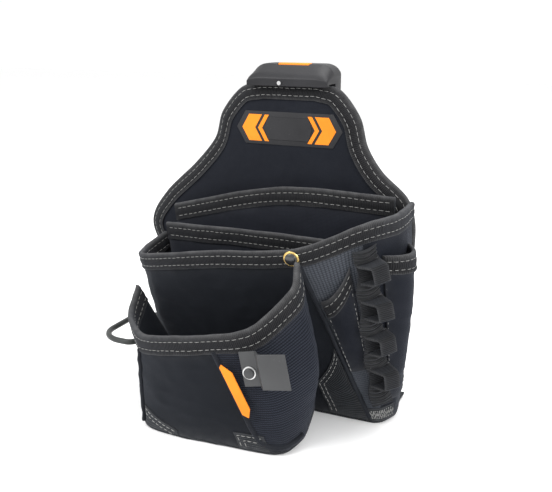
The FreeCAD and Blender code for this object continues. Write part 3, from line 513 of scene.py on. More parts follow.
def front_wall():
    wide, deep, low, high = POCKET_WIDE, POCKET_DEEP, POCKET_LOW, POCKET_HIGH
    seam = -0.58 * DEPTH - FABRIC - 1 * MM
    left_x, left_z, right_x = -0.80 * wide, low + 17 * MM, 0.33 * wide
    floor = [(-0.47 * wide, seam), (-0.50 * wide, seam - 0.48 * deep), (-0.48 * wide, seam - 0.83 * deep),
             (-0.15 * wide, seam - 0.90 * deep), (0.26 * wide, seam - 0.83 * deep),
             (0.36 * wide, seam - 0.76 * deep), (0.39 * wide, seam - 0.50 * deep), (0.32 * wide, seam)]
    mouth = [(left_x, main_front(left_x, left_z, 2) - LEFT_STAND, left_z),
             (-0.75 * wide, seam - 0.46 * deep, low + 1 * MM), (-0.50 * wide, seam - 0.83 * deep, low),
             (-0.24 * wide, seam - 0.97 * deep, low + 9 * MM),
             (-0.02 * wide, seam - 0.99 * deep, low + 16 * MM),
             (0.20 * wide, seam - 0.90 * deep, low + 25 * MM),
             (0.35 * wide, seam - 0.64 * deep, high - 18 * MM),
             (right_x, main_front(right_x, high, 3) - RIGHT_STAND, high)]
    belly = [(0, 0), (3, 0), (0, 0), (0, -3), (0, 0), (6, -2), (14, 2), (6, 0)]
    calm = [node_spot("clip_rivet", 26 * MM), node_spot("label_tab", 22 * MM)]
    return Wall(floor, mouth, belly, 2, calm)


def inner_wall(bottom_y, left_y, right_y, top_z, drop, seed):
    floor = [(-0.80 * HALF_BAG, bottom_y), (0, bottom_y - 2 * MM), (0.90 * HALF_BAG, bottom_y)]
    mouth = [(-0.95 * HALF_BAG, left_y, top_z - drop), (0, mix(left_y, right_y, 0.5) - 3 * MM, top_z),
             (0.90 * HALF_BAG, right_y, top_z)]
    return Wall(floor, mouth, [(0, 0)] * 3, seed)


MAIN = main_wall()
FRONT = front_wall()
REAR = inner_wall(-0.12 * DEPTH, -0.18 * DEPTH, -0.18 * DEPTH, 196 * MM, 26 * MM, 3)
DIVIDER = inner_wall(-0.31 * DEPTH, -0.36 * DEPTH, -0.60 * DEPTH, 161 * MM, 6 * MM, 4)


def level(value):
    return lambda *place: value


def panel(name, node, wall, left, right, low, high, material, depth=level(0.0), thick=FABRIC):
    """A sewn panel: puckered along its edges, thick, with its weave square to the floor."""
    wide = wall.width(left, right, 0.6)
    columns = max(8, int(wide / (2.4 * MM)))
    rows = 56
    u = np.linspace(left, right, columns)[:, None]
    share = np.linspace(0, 1, rows)[None, :]
    v = mix(low(u), high(u), share)
    across = (u - left) / (right - left) + 0 * share
    base = depth(across, share + 0 * u)
    tall = wall.height(u) * (high(u) - low(u))
    edge = np.minimum(np.minimum(across, 1 - across) * wide, np.minimum(share, 1 - share) * tall)
    middle = wall.face(u, v)
    pucker = np.exp(-edge / (5 * MM)) * cloud(middle, 7 * MM, wall.seed + 9) * 0.45 * MM
    outer = wall.point(u, v, base + thick + pucker)
    inner = wall.point(u, v, base + 0 * pucker)
    rub = np.exp(-edge / (4 * MM)) * 0.5 + 0.5 * np.exp(-share * tall / (9 * MM))
    made = shell(name, outer, inner, material, rub)
    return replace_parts(made, node)


def band_section(thick, wide, steps=9):
    """A folded binding's section as (depth, drop): down outside, up inside, round over the top."""
    radius = thick / 2
    turn = [(radius * math.cos(a), radius - radius * math.sin(a)) for a in np.linspace(0, math.pi, steps)]
    sides = np.linspace(radius, wide, 14)[1:]
    outside = [(radius, drop) for drop in sides[::-1]]
    inside = [(-radius, drop) for drop in sides]
    return outside + turn + inside


def binding(name, node, wall, left, right, top, seed, base=level(0.0), thick=FABRIC + 2 * LAP):
    """Grosgrain tape folded over an edge, dimpled by its rows of stitches."""
    columns = max(12, int(wall.width(left, right, 0.97) / (2.2 * MM)))
    u = np.linspace(left, right, columns)
    section = band_section(thick, BAND)
    sway = cloud(np.stack([u * 0.06, 0 * u, 0 * u], -1), 14 * MM, seed)
    ripple = cloud(np.stack([u * 0.06, 0 * u, 0 * u + 1], -1), 3.5 * MM, seed + 2)
    points = np.empty((columns, len(section), 3))
    weave = np.empty((columns, len(section), 2))
    wear = np.empty((columns, len(section)))
    along = lengths(wall.point(u, top(u), 0.0))
    around = lengths(np.array([(a, b, 0) for a, b in section]))
    lip = BAND - 0.6 * MM
    for k, (depth, drop) in enumerate(section):
        dent = sum(math.exp(-((drop - row) / (1.3 * MM)) ** 2) for row in ROWS) * 0.55 * MM
        side = math.copysign(1, depth) if abs(depth) > 1e-9 else 0
        swell = side * ((0.25 * ripple + 0.2) * MM - dent - (0.5 * MM if drop > lip else 0))
        stray = 0.5 * MM * sway if drop > BAND / 2 else 0.9 * MM * (0.5 + 0.5 * sway)
        v = top(u) - (drop + stray) / wall.height(u)
        points[:, k] = wall.point(u, v, base(u) + FABRIC / 2 + depth + swell)
        weave[:, k] = np.stack([along, np.full(columns, around[k])], -1)
        wear[:, k] = math.exp(-drop / (2.5 * MM)) + 0.6 * math.exp(-(BAND - drop) / (1.2 * MM))
    made = piece(name, points.reshape(-1, 3), closed_faces(columns, len(section)), BINDING,
                 weave.reshape(-1, 2), wear.reshape(-1), 65)
    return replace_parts(made, node)


# ------------------------------------------------------------------ stitching
class Stitching:
    """Rows of single stitches gathered into one mesh."""

    def __init__(self, name, material=THREAD, radius=0.25 * MM):
        self.name = name
        self.material = material
        self.radius = radius
        self.vertices, self.faces = [], []

    def stitch(self, points, outs):
        """One stitch: a short thread that dives into the cloth at both ends."""
        rings = len(points)
        along = unit(np.gradient(points, axis=0))
        side = unit(np.cross(along, outs))
        start = len(self.vertices)
        for i in range(rings):
            share = i / (rings - 1)
            full = self.radius * (0.55 + 0.45 * math.sin(math.pi * share))
            lift = self.radius * (1.1 * math.sin(math.pi * share) - 0.35)
            for k in range(6):
                angle = 2 * math.pi * k / 6
                spot = points[i] + outs[i] * (lift + full * math.sin(angle)) + side[i] * full * math.cos(angle)
                self.vertices.append(spot)
        self.faces += closed_faces(rings, 6, start)

    def row(self, line, long=4.0 * MM, gap=1.5 * MM):
        """Stitches all along a line given as points and outward directions."""
        points, outs = line
        run = lengths(points)
        place = gap
        while place + long < run[-1]:
            reach = long * CHANCE.uniform(0.9, 1.08)
            at = np.linspace(place, place + reach, 5)
            spots = resampled(points, run, at)
            ways = unit(resampled(outs, run, at))
            drift = CHANCE.uniform(-0.15, 0.15) * MM
            self.stitch(spots + np.cross(unit(np.gradient(spots, axis=0)), ways) * drift, ways)
            place += reach + gap * CHANCE.uniform(0.85, 1.15)

    def make(self):
        return piece(self.name, self.vertices, self.faces, self.material)


def rim_rows(stitching, wall, left, right, top, base=level(0.0), thick=FABRIC + 2 * LAP, inside=True):
    """Two rows along a binding, on its outside and, where it shows, inside."""
    count = 40 * int(math.ceil((right - left) * 8))
    u = np.linspace(left, right, count)
    for drop in ROWS:
        v = top(u) - (drop + 0.4 * MM) / wall.height(u)
        outs = wall.outward(u, v)
        stitching.row((wall.point(u, v, base(u) + FABRIC / 2 + thick / 2 - 0.25 * MM), outs))
        if inside:
            stitching.row((wall.point(u, v, base(u) + FABRIC / 2 - thick / 2 + 0.25 * MM), -outs))


def bound_rim(prefix, wall, seed):
    """A wall's whole rim: tape and its stitching."""
    binding(prefix + "_rim_tape", prefix + "_rim_binding", wall, 0, wall.last, level(1.0), seed)
    rows = Stitching(prefix + "_rim_stitching")
    rim_rows(rows, wall, 0.02, wall.last - 0.02, level(1.0))
    rows.make()


def under_band(wall):
    return lambda u: wall.rise(u, BAND - 2.5 * MM)


def bag_walls():
    for name, wall, left, right, material, slot in (
            ("main_left_gusset", MAIN, 0, 2, TWILL, "twill_fabric"),
            ("main_front_panel", MAIN, 2, 4, TWILL, "twill_fabric"),
            ("main_right_gusset", MAIN, 4, 5, GREY_WEAVE, "ballistic_fabric"),
            ("main_side_panel", MAIN, 5, 7, FINE_TWILL, "twill_fabric"),
            ("front_pocket_left_gusset", FRONT, 0, 2, TWILL, "twill_fabric"),
            ("front_pocket_panel", FRONT, 2, 4, TWILL, "twill_fabric"),
            ("front_pocket_right_gusset", FRONT, 4, 7, BALLISTIC, "ballistic_fabric")):
        panel(name + "_cloth", name, wall, left, right, level(0.0), under_band(wall), material)
    bound_rim("main", MAIN, 21)
    bound_rim("front_pocket", FRONT, 22)


def inner_pockets():
    for prefix, wall, seed in (("rear_pocket", REAR, 23), ("divider_pocket", DIVIDER, 24)):
        panel(prefix + "_cloth", prefix + "_panel", wall, 0, 2, level(0.0), under_band(wall), LINING)
        bound_rim(prefix, wall, seed)


# ------------------------------------------------------------------ piping
def tube(name, node, points, radius, material, sides=14):
    """A round cord through points, with a slight uneven swell."""
    along = unit(np.gradient(points, axis=0))
    across = unit(np.cross(along, np.array([0.31, 0.2, 0.93])))
    third = np.cross(along, across)
    run = lengths(points)
    angle = np.linspace(0, 2 * math.pi, sides, endpoint=False)
    reach = radius * (1 + 0.07 * cloud(points, 6 * MM, 40))
    ring = across[:, None] * np.cos(angle)[None, :, None] + third[:, None] * np.sin(angle)[None, :, None]
    vertices = points[:, None] + ring * reach[:, None, None]
    faces = closed_faces(len(points), sides)
    weave = np.stack(np.broadcast_arrays(angle[None, :] * radius, run[:, None]), -1)
    made = piece(name, vertices.reshape(-1, 3), faces, material, weave.reshape(-1, 2),
                 np.full(vertices.shape[0] * sides, 0.25), 70)
    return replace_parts(made, node)


SEAM_FOOT = [(0.25, 4.0), (0.15, 4.03), (0.09, 4.12), (0.05, 4.4), (0.04, 5.0), (0.06, 5.7)]


def seam_line(wall, u, drop):
    """Stations and heights down a piped seam."""
    v = np.linspace(0.02, float(wall.rise(float(u), drop)), 90)
    return np.full(90, float(u)), v


def front_seam_line(drop):
    """The front pocket's right seam: down from the rim, then round to the right above the floor."""
    down = np.linspace(float(FRONT.rise(4.0, drop)), 0.27, 60)
    corners = np.array([(u, v, 0.0) for v, u in SEAM_FOOT])
    foot = Wall.smooth(corners, np.linspace(0, len(corners) - 1, 90))
    return np.concatenate([np.full(60, 4.0), foot[:, 0]]), np.concatenate([down, foot[:, 1]])


def piped_seams():
    drop = BAND - 2 * MM
    for name, node, wall, line in (
            ("main_gusset_cord", "main_gusset_piping", MAIN, seam_line(MAIN, 4, drop)),
            ("front_pocket_left_cord", "front_pocket_left_piping", FRONT, seam_line(FRONT, 2, drop)),
            ("front_pocket_seam_cord", "front_pocket_seam_piping", FRONT, front_seam_line(drop))):
        u, v = line
        tube(name, node, wall.point(u, v, FABRIC + 0.9 * MM), 1.9 * MM, CORDED)


# ------------------------------------------------------------------ patches
def patch(name, node, wall, left, right, high, rows):
    """A hard-wearing patch and the stitch rows that follow its edges."""
    panel(name + "_cloth", node, wall, left, right, level(0.0), high, PATCH_CLOTH,
          level(FABRIC - 0.1 * MM), PATCH)
    seam = Stitching(name + "_stitching", radius=0.34 * MM)
    for corners in rows:
        seam.row(wall.path(corners, FABRIC + PATCH), 3.4 * MM, 1.3 * MM)
    seam.make()


def inset_rows(wall, left, right, high, sides):
    """Two stitch lines inside the top edge and the chosen upright edges of a patch."""
    lines = []
    for inset in (2.4 * MM, 6.8 * MM):
        drop = inset / float(wall.height(left))
        u0 = left + (inset / wall.stride(left, 0.1) if "left" in sides else 0)
        u1 = right - (inset / wall.stride(right, 0.1) if "right" in sides else 0)
        line = [(u, float(high(u)) - drop) for u in np.linspace(u0, u1, 12)]
        if "left" in sides:
            line = [(u0, 0.01)] + line
        if "right" in sides:
            line = line + [(u1, 0.01)]
        lines.append(line)
    return lines


def corner_patches():
    u = np.linspace(3, 4, 200)
    end = 3.92
    start = float(np.interp(FRONT.floor[-1][0] + 18 * MM, MAIN.smooth(MAIN.floor, u)[:, 0], u))
    for name, wall, left, right, high, sides in (
            ("main_corner_patch", MAIN, start, end, lambda u: 0.20 + 0.24 * (u - start) / (end - start),
             ("left",)),
            ("front_pocket_left_patch", FRONT, 2.10, 2.75, lambda u: 0.22 - 0.17 * (u - 2.10) / 0.65, ()),
            ("front_pocket_right_patch", FRONT, 3.60, 4.35, lambda u: 0.14 + 0 * u, ("left",))):
        patch(name, name, wall, left, right, high, inset_rows(wall, left, right, high, sides))
    low, high = 0.012, 0.06
    zigzag = [(u, low if i % 2 else high) for i, u in enumerate(np.linspace(4.2, 5.7, 25))]
    patch("main_corner_tape", "main_corner_tape", MAIN, 4.15, 5.75, level(0.07), [zigzag])


# ------------------------------------------------------------------ outer pockets
SLANT_LEFT, SLANT_RIGHT = 4.10, 4.70
PEN_LEFT, PEN_RIGHT, PEN_TOP = 5.45, 6.58, 158 * MM


def outer_pocket(prefix, left, right, low, high, gap, seed):
    """A pocket on the main bag's right side, standing off it by a gap at the middle of its mouth."""
    border = 0.88

    def standing(u):
        return gap * np.sin(math.pi * (np.asarray(u) - left) / (right - left))

    def lower(across, share):
        return FABRIC + gap * np.sin(math.pi * across) * share * border

    def band_low(u):
        return high(u) - (BAND - 2 * MM) / MAIN.height(u)

    def tape(u):
        return FABRIC + 0.2 * MM + standing(u) * mix(border, 1, 0.5)

    panel(prefix + "_cloth", prefix + "_panel", MAIN, left, right, low, band_low, FINE_TWILL,
          lower)
    binding(prefix + "_rim_tape", prefix + "_binding", MAIN, left, right, high, seed, tape, FABRIC + LAP)
    rows = Stitching(prefix + "_rim_stitching")
    rim_rows(rows, MAIN, left + 0.01, right - 0.01, high, tape, FABRIC + LAP, False)
    edge = low(0) if callable(low) else low
    for u in (left + 0.03, right - 0.03):
        line = MAIN.path([(u, edge), (u, float(band_low(u)))], 2 * FABRIC + 0.1 * MM)
        rows.row(line, 3.2 * MM, 1.2 * MM)
    rows.make()


def slant_mouth(u):
    share = (u - SLANT_LEFT) / (SLANT_RIGHT - SLANT_LEFT)
    return 0.71 + 0.12 * share ** 2


def pen_mouth(u):
    top = MAIN.smooth(MAIN.mouth, np.asarray(u, float))[..., 2]
    return (PEN_TOP - BASE_TOP) / (top - BASE_TOP)


def outer_pockets():
    outer_pocket("slant_pocket", SLANT_LEFT, SLANT_RIGHT, level(0.30), slant_mouth, 3 * MM, 25)
    outer_pocket("pen_pocket", PEN_LEFT, PEN_RIGHT, level(0.10), pen_mouth, 11 * MM, 26)


# ------------------------------------------------------------------ tool loops
LOOP_U, LOOP_LOW = 5.05, 0.10
LOOP_SHARES = np.linspace(0.20, 0.86, 4)      # each loop's share of the strap's height
LOOP_HALF, LOOP_SHEET, LOOP_REACH, LOOP_TALL = 10 * MM, 1.6 * MM, 13 * MM, 17 * MM
LOOP_LEAN = 0.5                               # how far an arch leans to the right as it stands out


def loop_seat(v, depth=0.0):
    return MAIN.frame(LOOP_U, v, 2 * FABRIC + 0.2 * MM + depth)


def bunching(share):
    """How bunched the strap is at a share of its height: 0 at a loop, 1 half way between."""
    turn = (share - LOOP_SHARES[0]) / (LOOP_SHARES[1] - LOOP_SHARES[0])
    return 0.5 - 0.5 * math.cos(2 * math.pi * turn)


def tool_loop_strap(high):
    """The webbing strip: bunched ripples between the loops."""
    rows, across = 260, 13
    shares = np.linspace(0, 1, rows)
    tall = float(MAIN.height(LOOP_U)) * (high - LOOP_LOW)
    outer = np.empty((across, rows, 3))
    inner = np.empty((across, rows, 3))
    for j, share in enumerate(shares):
        seat = loop_seat(mix(LOOP_LOW, high, share))
        bunch = bunching(share)
        ripple = 0.8 * MM * bunch * math.sin(2 * math.pi * share * tall / (3.3 * MM))
        swing = -2.6 * MM * bunch + 0.5 * MM * math.sin(9 * share)
        wide = LOOP_HALF * (1 + 0.05 * bunch * math.sin(2 * math.pi * share * tall / (3.3 * MM) + 1.2))
        for i, side in enumerate(np.linspace(-1, 1, across)):
            x = swing + side * wide
            crown = 2.6 * MM * bunch * (1 - side * side)
            arc = 2.2 * MM * bunch * (1 - side * side)
            z = ripple * (1 - 0.35 * side * side) + crown
            outer[i, j] = seat @ Vector((x, 0.6 * MM * side * bunch - arc, LOOP_SHEET + z + 0.2 * MM))
            inner[i, j] = seat @ Vector((x, 0.6 * MM * side * bunch - arc, 0))
    rub = np.tile(0.15 + 0.3 * np.array([bunching(share) for share in shares]), (across, 1))
    strap = shell("tool_loop_strap", outer, inner, WEBBING, rub, turned=True)
    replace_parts(strap, "tool_loop_webbing")


def arch_outline(half, reach, corner):
    """An arch seen from the side as (up, out): out of the strap, down the face and back."""
    points = [(half + 1.2 * MM, 0.0), (half, 1.2 * MM)]
    for centre, start in ((half - corner, 0.0), (-half + corner, math.pi / 2)):
        for angle in np.linspace(start, start + math.pi / 2, 8):
            points.append((centre + corner * math.cos(angle), reach - corner + corner * math.sin(angle)))
    points += [(-half, 1.2 * MM), (-half - 1.2 * MM, 0.0)]
    spread = np.array(points)
    run = lengths(spread)
    return resampled(spread, run, np.linspace(0, run[-1], 44))


def tool_loops():
    """Four arches of webbing, each leaning to the right and a little different."""
    high = float(MAIN.rise(LOOP_U, BAND + 2 * MM))
    tool_loop_strap(high)
    tacks = Stitching("tool_loop_tacks", DARK_THREAD, 0.4 * MM)
    for i, share in enumerate(LOOP_SHARES):
        seat = loop_seat(mix(LOOP_LOW, high, share), LOOP_SHEET + 0.3 * MM)
        twist, droop = CHANCE.uniform(-0.08, 0.12), CHANCE.uniform(0.3, 2.0) * MM
        lean = LOOP_LEAN + CHANCE.uniform(-0.06, 0.06)
        outline = arch_outline(LOOP_TALL / 2, LOOP_REACH - CHANCE.uniform(0, 1.2) * MM, 3.0 * MM)
        slope = np.gradient(outline, axis=0)
        inward = unit(np.stack([-slope[:, 1], slope[:, 0]], -1)) * LOOP_SHEET
        outer, inner = [], []
        for (y, z), (down, back) in zip(outline, inward):
            out = z / LOOP_REACH
            half = mix(LOOP_HALF, 0.66 * LOOP_HALF, out)
            column_out, column_in = [], []
            for side in np.linspace(-1, 1, 11):
                x = side * half + lean * z
                curl = 0.5 * MM * (1 - side * side) * out
                rise = y - droop * out + twist * x
                column_out.append(seat @ Vector((x, rise, z + curl)))
                column_in.append(seat @ Vector((x, rise + down, max(0, z + curl + back))))
            outer.append(column_out)
            inner.append(column_in)
        rub = np.tile(0.15 + 0.6 * np.abs(np.linspace(-1, 1, 11)) ** 6, (len(outline), 1))
        made = shell(f"tool_loop_{i + 1}", np.array(outer), np.array(inner), WEBBING, rub)
        if i == 0:
            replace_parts(made, "tool_loops")
        for end in (-1, 1):
            foot = end * (LOOP_TALL / 2 + 1.4 * MM)
            for tack in np.linspace(-0.8, 0.8, 6) * LOOP_HALF:
                spots = [seat @ Vector((tack + push, foot, 0.3 * MM))
                         for push in np.linspace(-1.2, 1.2, 5) * MM]
                way = np.tile(np.array(seat.to_3x3() @ Vector((0, 0, 1))), (5, 1))
                tacks.stitch(np.array(spots), way)
    tacks.make()


# ------------------------------------------------------------------ floors of the bags
def base_sheet(name, node, wall, back):
    """A bag's floor, its edge rolled under."""
    u = np.linspace(0, wall.last, 30 * wall.last)
    rim = wall.point(u, 0.0 * u, FABRIC)[:, :2]
    loop = [tuple(p) for p in rim] + [(rim[-1][0], back), (rim[0][0], back)]
    centre = np.mean(loop, axis=0)
    rings = [(0.0, BASE_TOP + 0.4 * MM), (0.0, BASE_TOP * 0.6), (0.5 * MM, BASE_TOP * 0.25), (1.8 * MM, 0.0)]
    vertices = []
    for inset, z in rings:
        for x, y in loop:
            away = centre - (x, y)
            pull = away / max(1e-9, float(np.linalg.norm(away))) * inset
            vertices.append((x + pull[0], y + pull[1], z))
    faces = closed_faces(len(rings), len(loop))
    weave = [(x, y + z) for x, y, z in vertices]
    made = piece(name, vertices, faces, PATCH_CLOTH, weave, [0.3] * len(vertices))
    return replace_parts(made, node)


def bag_floors():
    base_sheet("main_floor", "main_base", MAIN, 12 * MM)
    base_sheet("front_pocket_floor", "front_pocket_base", FRONT, float(FRONT.floor[0][1]) + 0.2 * MM)


# ------------------------------------------------------------------ back panel
PANEL_HALF = 131 * MM
PANEL_PAD = 12 * MM
PANEL_BAND = 15 * MM
CHANNEL = 54 * MM             # how far apart the channels behind the panel are sewn
PANEL_ROWS = (5.0 * MM, 11.4 * MM)
PANEL_MIDDLE = np.array([0.0, 0.42 * PANEL_TOP])
LEFT_SHARES = [(0.80, 0), (0.87, 0.08), (1.08, 0.38), (1.17, 0.50), (1.03, 0.61), (0.77, 0.72),
               (0.60, 0.81), (0.535, 0.90), (0.38, 0.98), (0.20, 1)]
RIGHT_SHARES = [(0.80, 0), (0.87, 0.08), (0.90, 0.40), (0.91, 0.57), (0.85, 0.66), (0.67, 0.735),
                (0.56, 0.81), (0.50, 0.90), (0.36, 0.98), (0.20, 1)]


def bell_outline():
    """The back panel's edge as an even loop of (x, z), from the right foot round over the top."""
    sides = []
    for sign, shares in ((1, RIGHT_SHARES), (-1, LEFT_SHARES)):
        points = np.array([(sign * x * PANEL_HALF, 0.0, mix(BASE_TOP, PANEL_TOP, z)) for x, z in shares])
        side = Wall.smooth(points, np.linspace(0, len(points) - 1, 160))
        sides.append(side if sign > 0 else side[::-1])
    loop = np.concatenate([sides[0], sides[1], sides[0][:1]])
    run = lengths(loop)
    return resampled(loop[:, [0, 2]], run, np.linspace(0, run[-1], 420, endpoint=False))


def drawn_in(outline, inset):
    """The outline moved inwards, square to itself."""
    way = np.roll(outline, -2, axis=0) - np.roll(outline, 2, axis=0)
    inward = unit(np.stack([-way[:, 1], way[:, 0]], -1))
    return outline + inward * inset


def back_panel():
    """The padded bell: crowned both sides, sewn into channels behind."""
    outline = drawn_in(bell_outline(), 3 * MM)
    rings = np.concatenate([np.linspace(0, 0.9, 44), [0.94, 0.97, 0.99, 1.0]])
    count = len(outline)
    vertices, weave = [], []
    for back in (False, True):
        for share in rings:
            spots = PANEL_MIDDLE + (outline - PANEL_MIDDLE) * share
            edge = np.linalg.norm(outline - PANEL_MIDDLE, axis=1) * (1 - share)
            full = 1 - np.exp(-edge / (9 * MM))
            place = np.stack([spots[:, 0], 0 * edge, spots[:, 1]], -1)
            wave = cloud(place, 45 * MM, 31 + back) * 0.9 * MM
            if back:
                channel = np.abs(((np.abs(spots[:, 0]) + CHANNEL / 2) % CHANNEL) - CHANNEL / 2)
                groove = np.exp(-(channel / (3.2 * MM)) ** 2) * 3.2 * MM * full
                y = mix(8.5 * MM, PANEL_PAD - 0.2 * MM, full) - groove + np.minimum(wave, 0.3 * MM) * full
            else:
                y = mix(3.4 * MM, -0.9 * MM, full) + wave * full
            vertices.append(np.stack([spots[:, 0], y, spots[:, 1]], -1))
            weave.append(spots)
    vertices = np.concatenate(vertices)
    behind = len(rings) * count
    last = behind - count
    faces = grid_faces(len(rings), count, 0, True) + grid_faces(len(rings), count, behind, True)
    for k in range(count):
        j = (k + 1) % count
        faces.append((last + k, last + j, last + behind + j, last + behind + k))
    made = piece("back_panel_pad", vertices, faces, FINE_TWILL, np.concatenate(weave),
                 np.full(len(vertices), 0.1))
    made.data.materials.append(SPACER_MESH)
    for face in made.data.polygons:
        if face.center.y > PANEL_PAD * 0.55 and face.normal.y > 0:
            face.material_index = 1
    merge(made)
    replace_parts(made, "back_panel")


def merge(made):
    """Joins vertices that lie on each other."""
    distance = 0.01 * MM
    shape = bmesh.new()
    shape.from_mesh(made.data)
    bmesh.ops.remove_doubles(shape, verts=shape.verts, dist=distance)
    bmesh.ops.dissolve_degenerate(shape, edges=shape.edges, dist=distance)
    shape.to_mesh(made.data)
    shape.free()


def edge_half(drop, radius, thick, wide):
    """Half the binding's thickness a distance in from the edge."""
    share = min(1, max(0, (drop - radius) / (wide - radius)))
    return mix(radius, thick / 2, math.sqrt(share))


def back_panel_binding():
    """Tape folded over the bell's edge, with two rows of stitches on each side."""
    outline = bell_outline()
    radius, thick, middle = 3.3 * MM, PANEL_PAD + 2 * LAP, PANEL_PAD / 2
    flat = np.linspace(radius, PANEL_BAND, 14)
    section = [(-edge_half(drop, radius, thick, PANEL_BAND), drop, -1) for drop in flat[::-1]]
    section += [(radius * math.sin(a), radius * (1 - math.cos(a)), 0) for a in np.linspace(-1.4, 1.4, 9)]
    section += [(edge_half(drop, radius, thick, PANEL_BAND), drop, 1) for drop in flat]
    count = len(outline)
    run = lengths(np.stack([outline[:, 0], 0 * outline[:, 0], outline[:, 1]], -1))
    ripple = cloud(np.stack([outline[:, 0], 0 * run, outline[:, 1]], -1), 6 * MM, 33)
    around = lengths(np.array([(y, drop, 0) for y, drop, side in section]))
    vertices, weave, wear = [], [], []
    for (offset, drop, side), place in zip(section, around):
        spots = drawn_in(outline, drop)
        dent = sum(math.exp(-((drop - row) / (1.2 * MM)) ** 2) for row in PANEL_ROWS) * 0.5 * MM
        y = middle + offset + side * (0.25 * MM * ripple - dent)
        vertices.append(np.stack([spots[:, 0], y, spots[:, 1]], -1))
        weave.append(np.stack([run, np.full(count, place)], -1))
        rub = math.exp(-drop / (3 * MM)) + 0.5 * math.exp(-(PANEL_BAND - drop) / (1.5 * MM))
        wear.append(np.full(count, rub))
    faces = grid_faces(len(section), count, loop=True)
    last = (len(section) - 1) * count
    for k in range(count):
        j = (k + 1) % count
        faces.append((last + k, last + j, j, k))
    made = piece("back_panel_tape", np.concatenate(vertices), faces, BINDING,
                 np.concatenate(weave), np.concatenate(wear), 65)
    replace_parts(made, "back_panel_binding")
    rows = Stitching("back_panel_stitching")
    for row in PANEL_ROWS:
        spots = drawn_in(outline, row)
        for side in (-1, 1):
            y = middle + side * (edge_half(row, radius, thick, PANEL_BAND) - 0.3 * MM)
            points = np.stack([spots[:, 0], np.full(count, y), spots[:, 1]], -1)
            rows.row((points, np.tile(np.array([0.0, side, 0.0]), (count, 1))))
    rows.make()


# ------------------------------------------------------------------ hardware
def rounded_copy(name, node, width, material, body="pouch"):
    """A CAD part's own shape with its edges rounded."""
    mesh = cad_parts[node].data.copy()
    shape = bmesh.new()
    shape.from_mesh(mesh)
    bmesh.ops.remove_doubles(shape, verts=shape.verts, dist=1e-6)
    bmesh.ops.dissolve_limit(shape, angle_limit=math.radians(1), verts=shape.verts, edges=shape.edges)
    corners = [e for e in shape.edges if len(e.link_faces) == 2 and e.calc_face_angle(0) > math.radians(25)]
    bmesh.ops.bevel(shape, geom=corners, offset=width, segments=3, profile=0.5, affect="EDGES",
                    clamp_overlap=True)
    bmesh.ops.triangulate(shape, faces=[f for f in shape.faces if len(f.verts) > 4])
    shape.to_mesh(mesh)
    shape.free()
    mesh.name = name
    mesh.materials.clear()
    mesh.materials.append(material)
    mesh.shade_smooth()
    mesh.set_sharp_from_angle(angle=math.radians(35))
    made = bpy.data.objects.new(name, mesh)
    bpy.context.scene.collection.objects.link(made)
    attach(made, body)
    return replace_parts(made, node)


def lathe(name, node, seat, profile, material, sides=48):
    """A turned shape from (radius, height) pairs, standing on a matrix's Z."""
    vertices = []
    for radius, height in profile:
        for k in range(sides):
            angle = 2 * math.pi * k / sides
            vertices.append(seat @ Vector((radius * math.cos(angle), radius * math.sin(angle), height)))
    made = piece(name, vertices, closed_faces(len(profile), sides), material, sharp=40)
    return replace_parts(made, node)


def dome(radius, height, rim):
    """A cap rivet's profile: a short rim, then a round head."""
    profile = [(radius * 0.97, 0), (radius, rim * 0.4), (radius, rim)]
    for angle in np.linspace(0.12, 0.97, 9) * math.pi / 2:
        profile.append((radius * math.cos(angle), rim + (height - rim) * math.sin(angle)))
    return profile


RIM_RIVET_U = 3.93
CLIP_U, CLIP_V = 4.55, 0.73


def hardware():
    rounded_copy("tape_clip_plate", "tape_clip", 0.45 * MM, CLIP_STEEL)
    clip = FRONT.frame(CLIP_U, CLIP_V, FABRIC + 3.2 * MM)
    seat = clip @ Matrix.Translation((6 * MM, -3 * MM, 1.6 * MM))
    ring = [(3 * MM, 0), (5.5 * MM, 0), (5.6 * MM, 0.25 * MM), (5.3 * MM, 0.75 * MM), (3 * MM, 0.8 * MM)]
    lathe("clip_ring", "clip_washer", seat, ring, BRIGHT_STEEL)
    raise_cap = Matrix.Translation((0, 0, 0.8 * MM))
    lathe("clip_cap", "clip_rivet", seat @ raise_cap, dome(4.4 * MM, 2.6 * MM, 0.8 * MM), CLIP_STEEL)
    spot = MAIN.frame(RIM_RIVET_U, float(MAIN.rise(RIM_RIVET_U, BAND / 2)), FABRIC + LAP)
    collar = [(4 * MM, 0), (6.6 * MM, 0), (6.8 * MM, 0.3 * MM), (6.5 * MM, 0.75 * MM), (4 * MM, 0.8 * MM)]
    lathe("rim_rivet_collar", "rim_rivet_ring", spot, collar, BRASS)
    lathe("rim_rivet_cap", "rim_rivet", spot @ raise_cap, dome(5.2 * MM, 2.6 * MM, 0.7 * MM), BLACK_CAP)


def round_hood(made):
    """Rolls the hood's two ends down from its flat top."""
    start, end = 25 * MM, 39 * MM
    low, high = 0.284, 0.303
    shape = bmesh.new()
    shape.from_mesh(made.data)
    for x in np.linspace(start, end - 1 * MM, 7):
        for side in (-1, 1):
            cut = shape.verts[:] + shape.edges[:] + shape.faces[:]
            bmesh.ops.bisect_plane(shape, geom=cut, plane_co=(side * x, 0, 0), plane_no=(1, 0, 0), dist=1e-7)
    for vertex in shape.verts:
        place = vertex.co
        past = min(1, max(0, (abs(place.x) - start) / (end - start)))
        lifted = min(1, max(0, (place.z - low) / (high - low)))
        place.z -= 11 * MM * (1 - math.sqrt(max(0, 1 - past * past))) * lifted
    shape.to_mesh(made.data)
    shape.free()


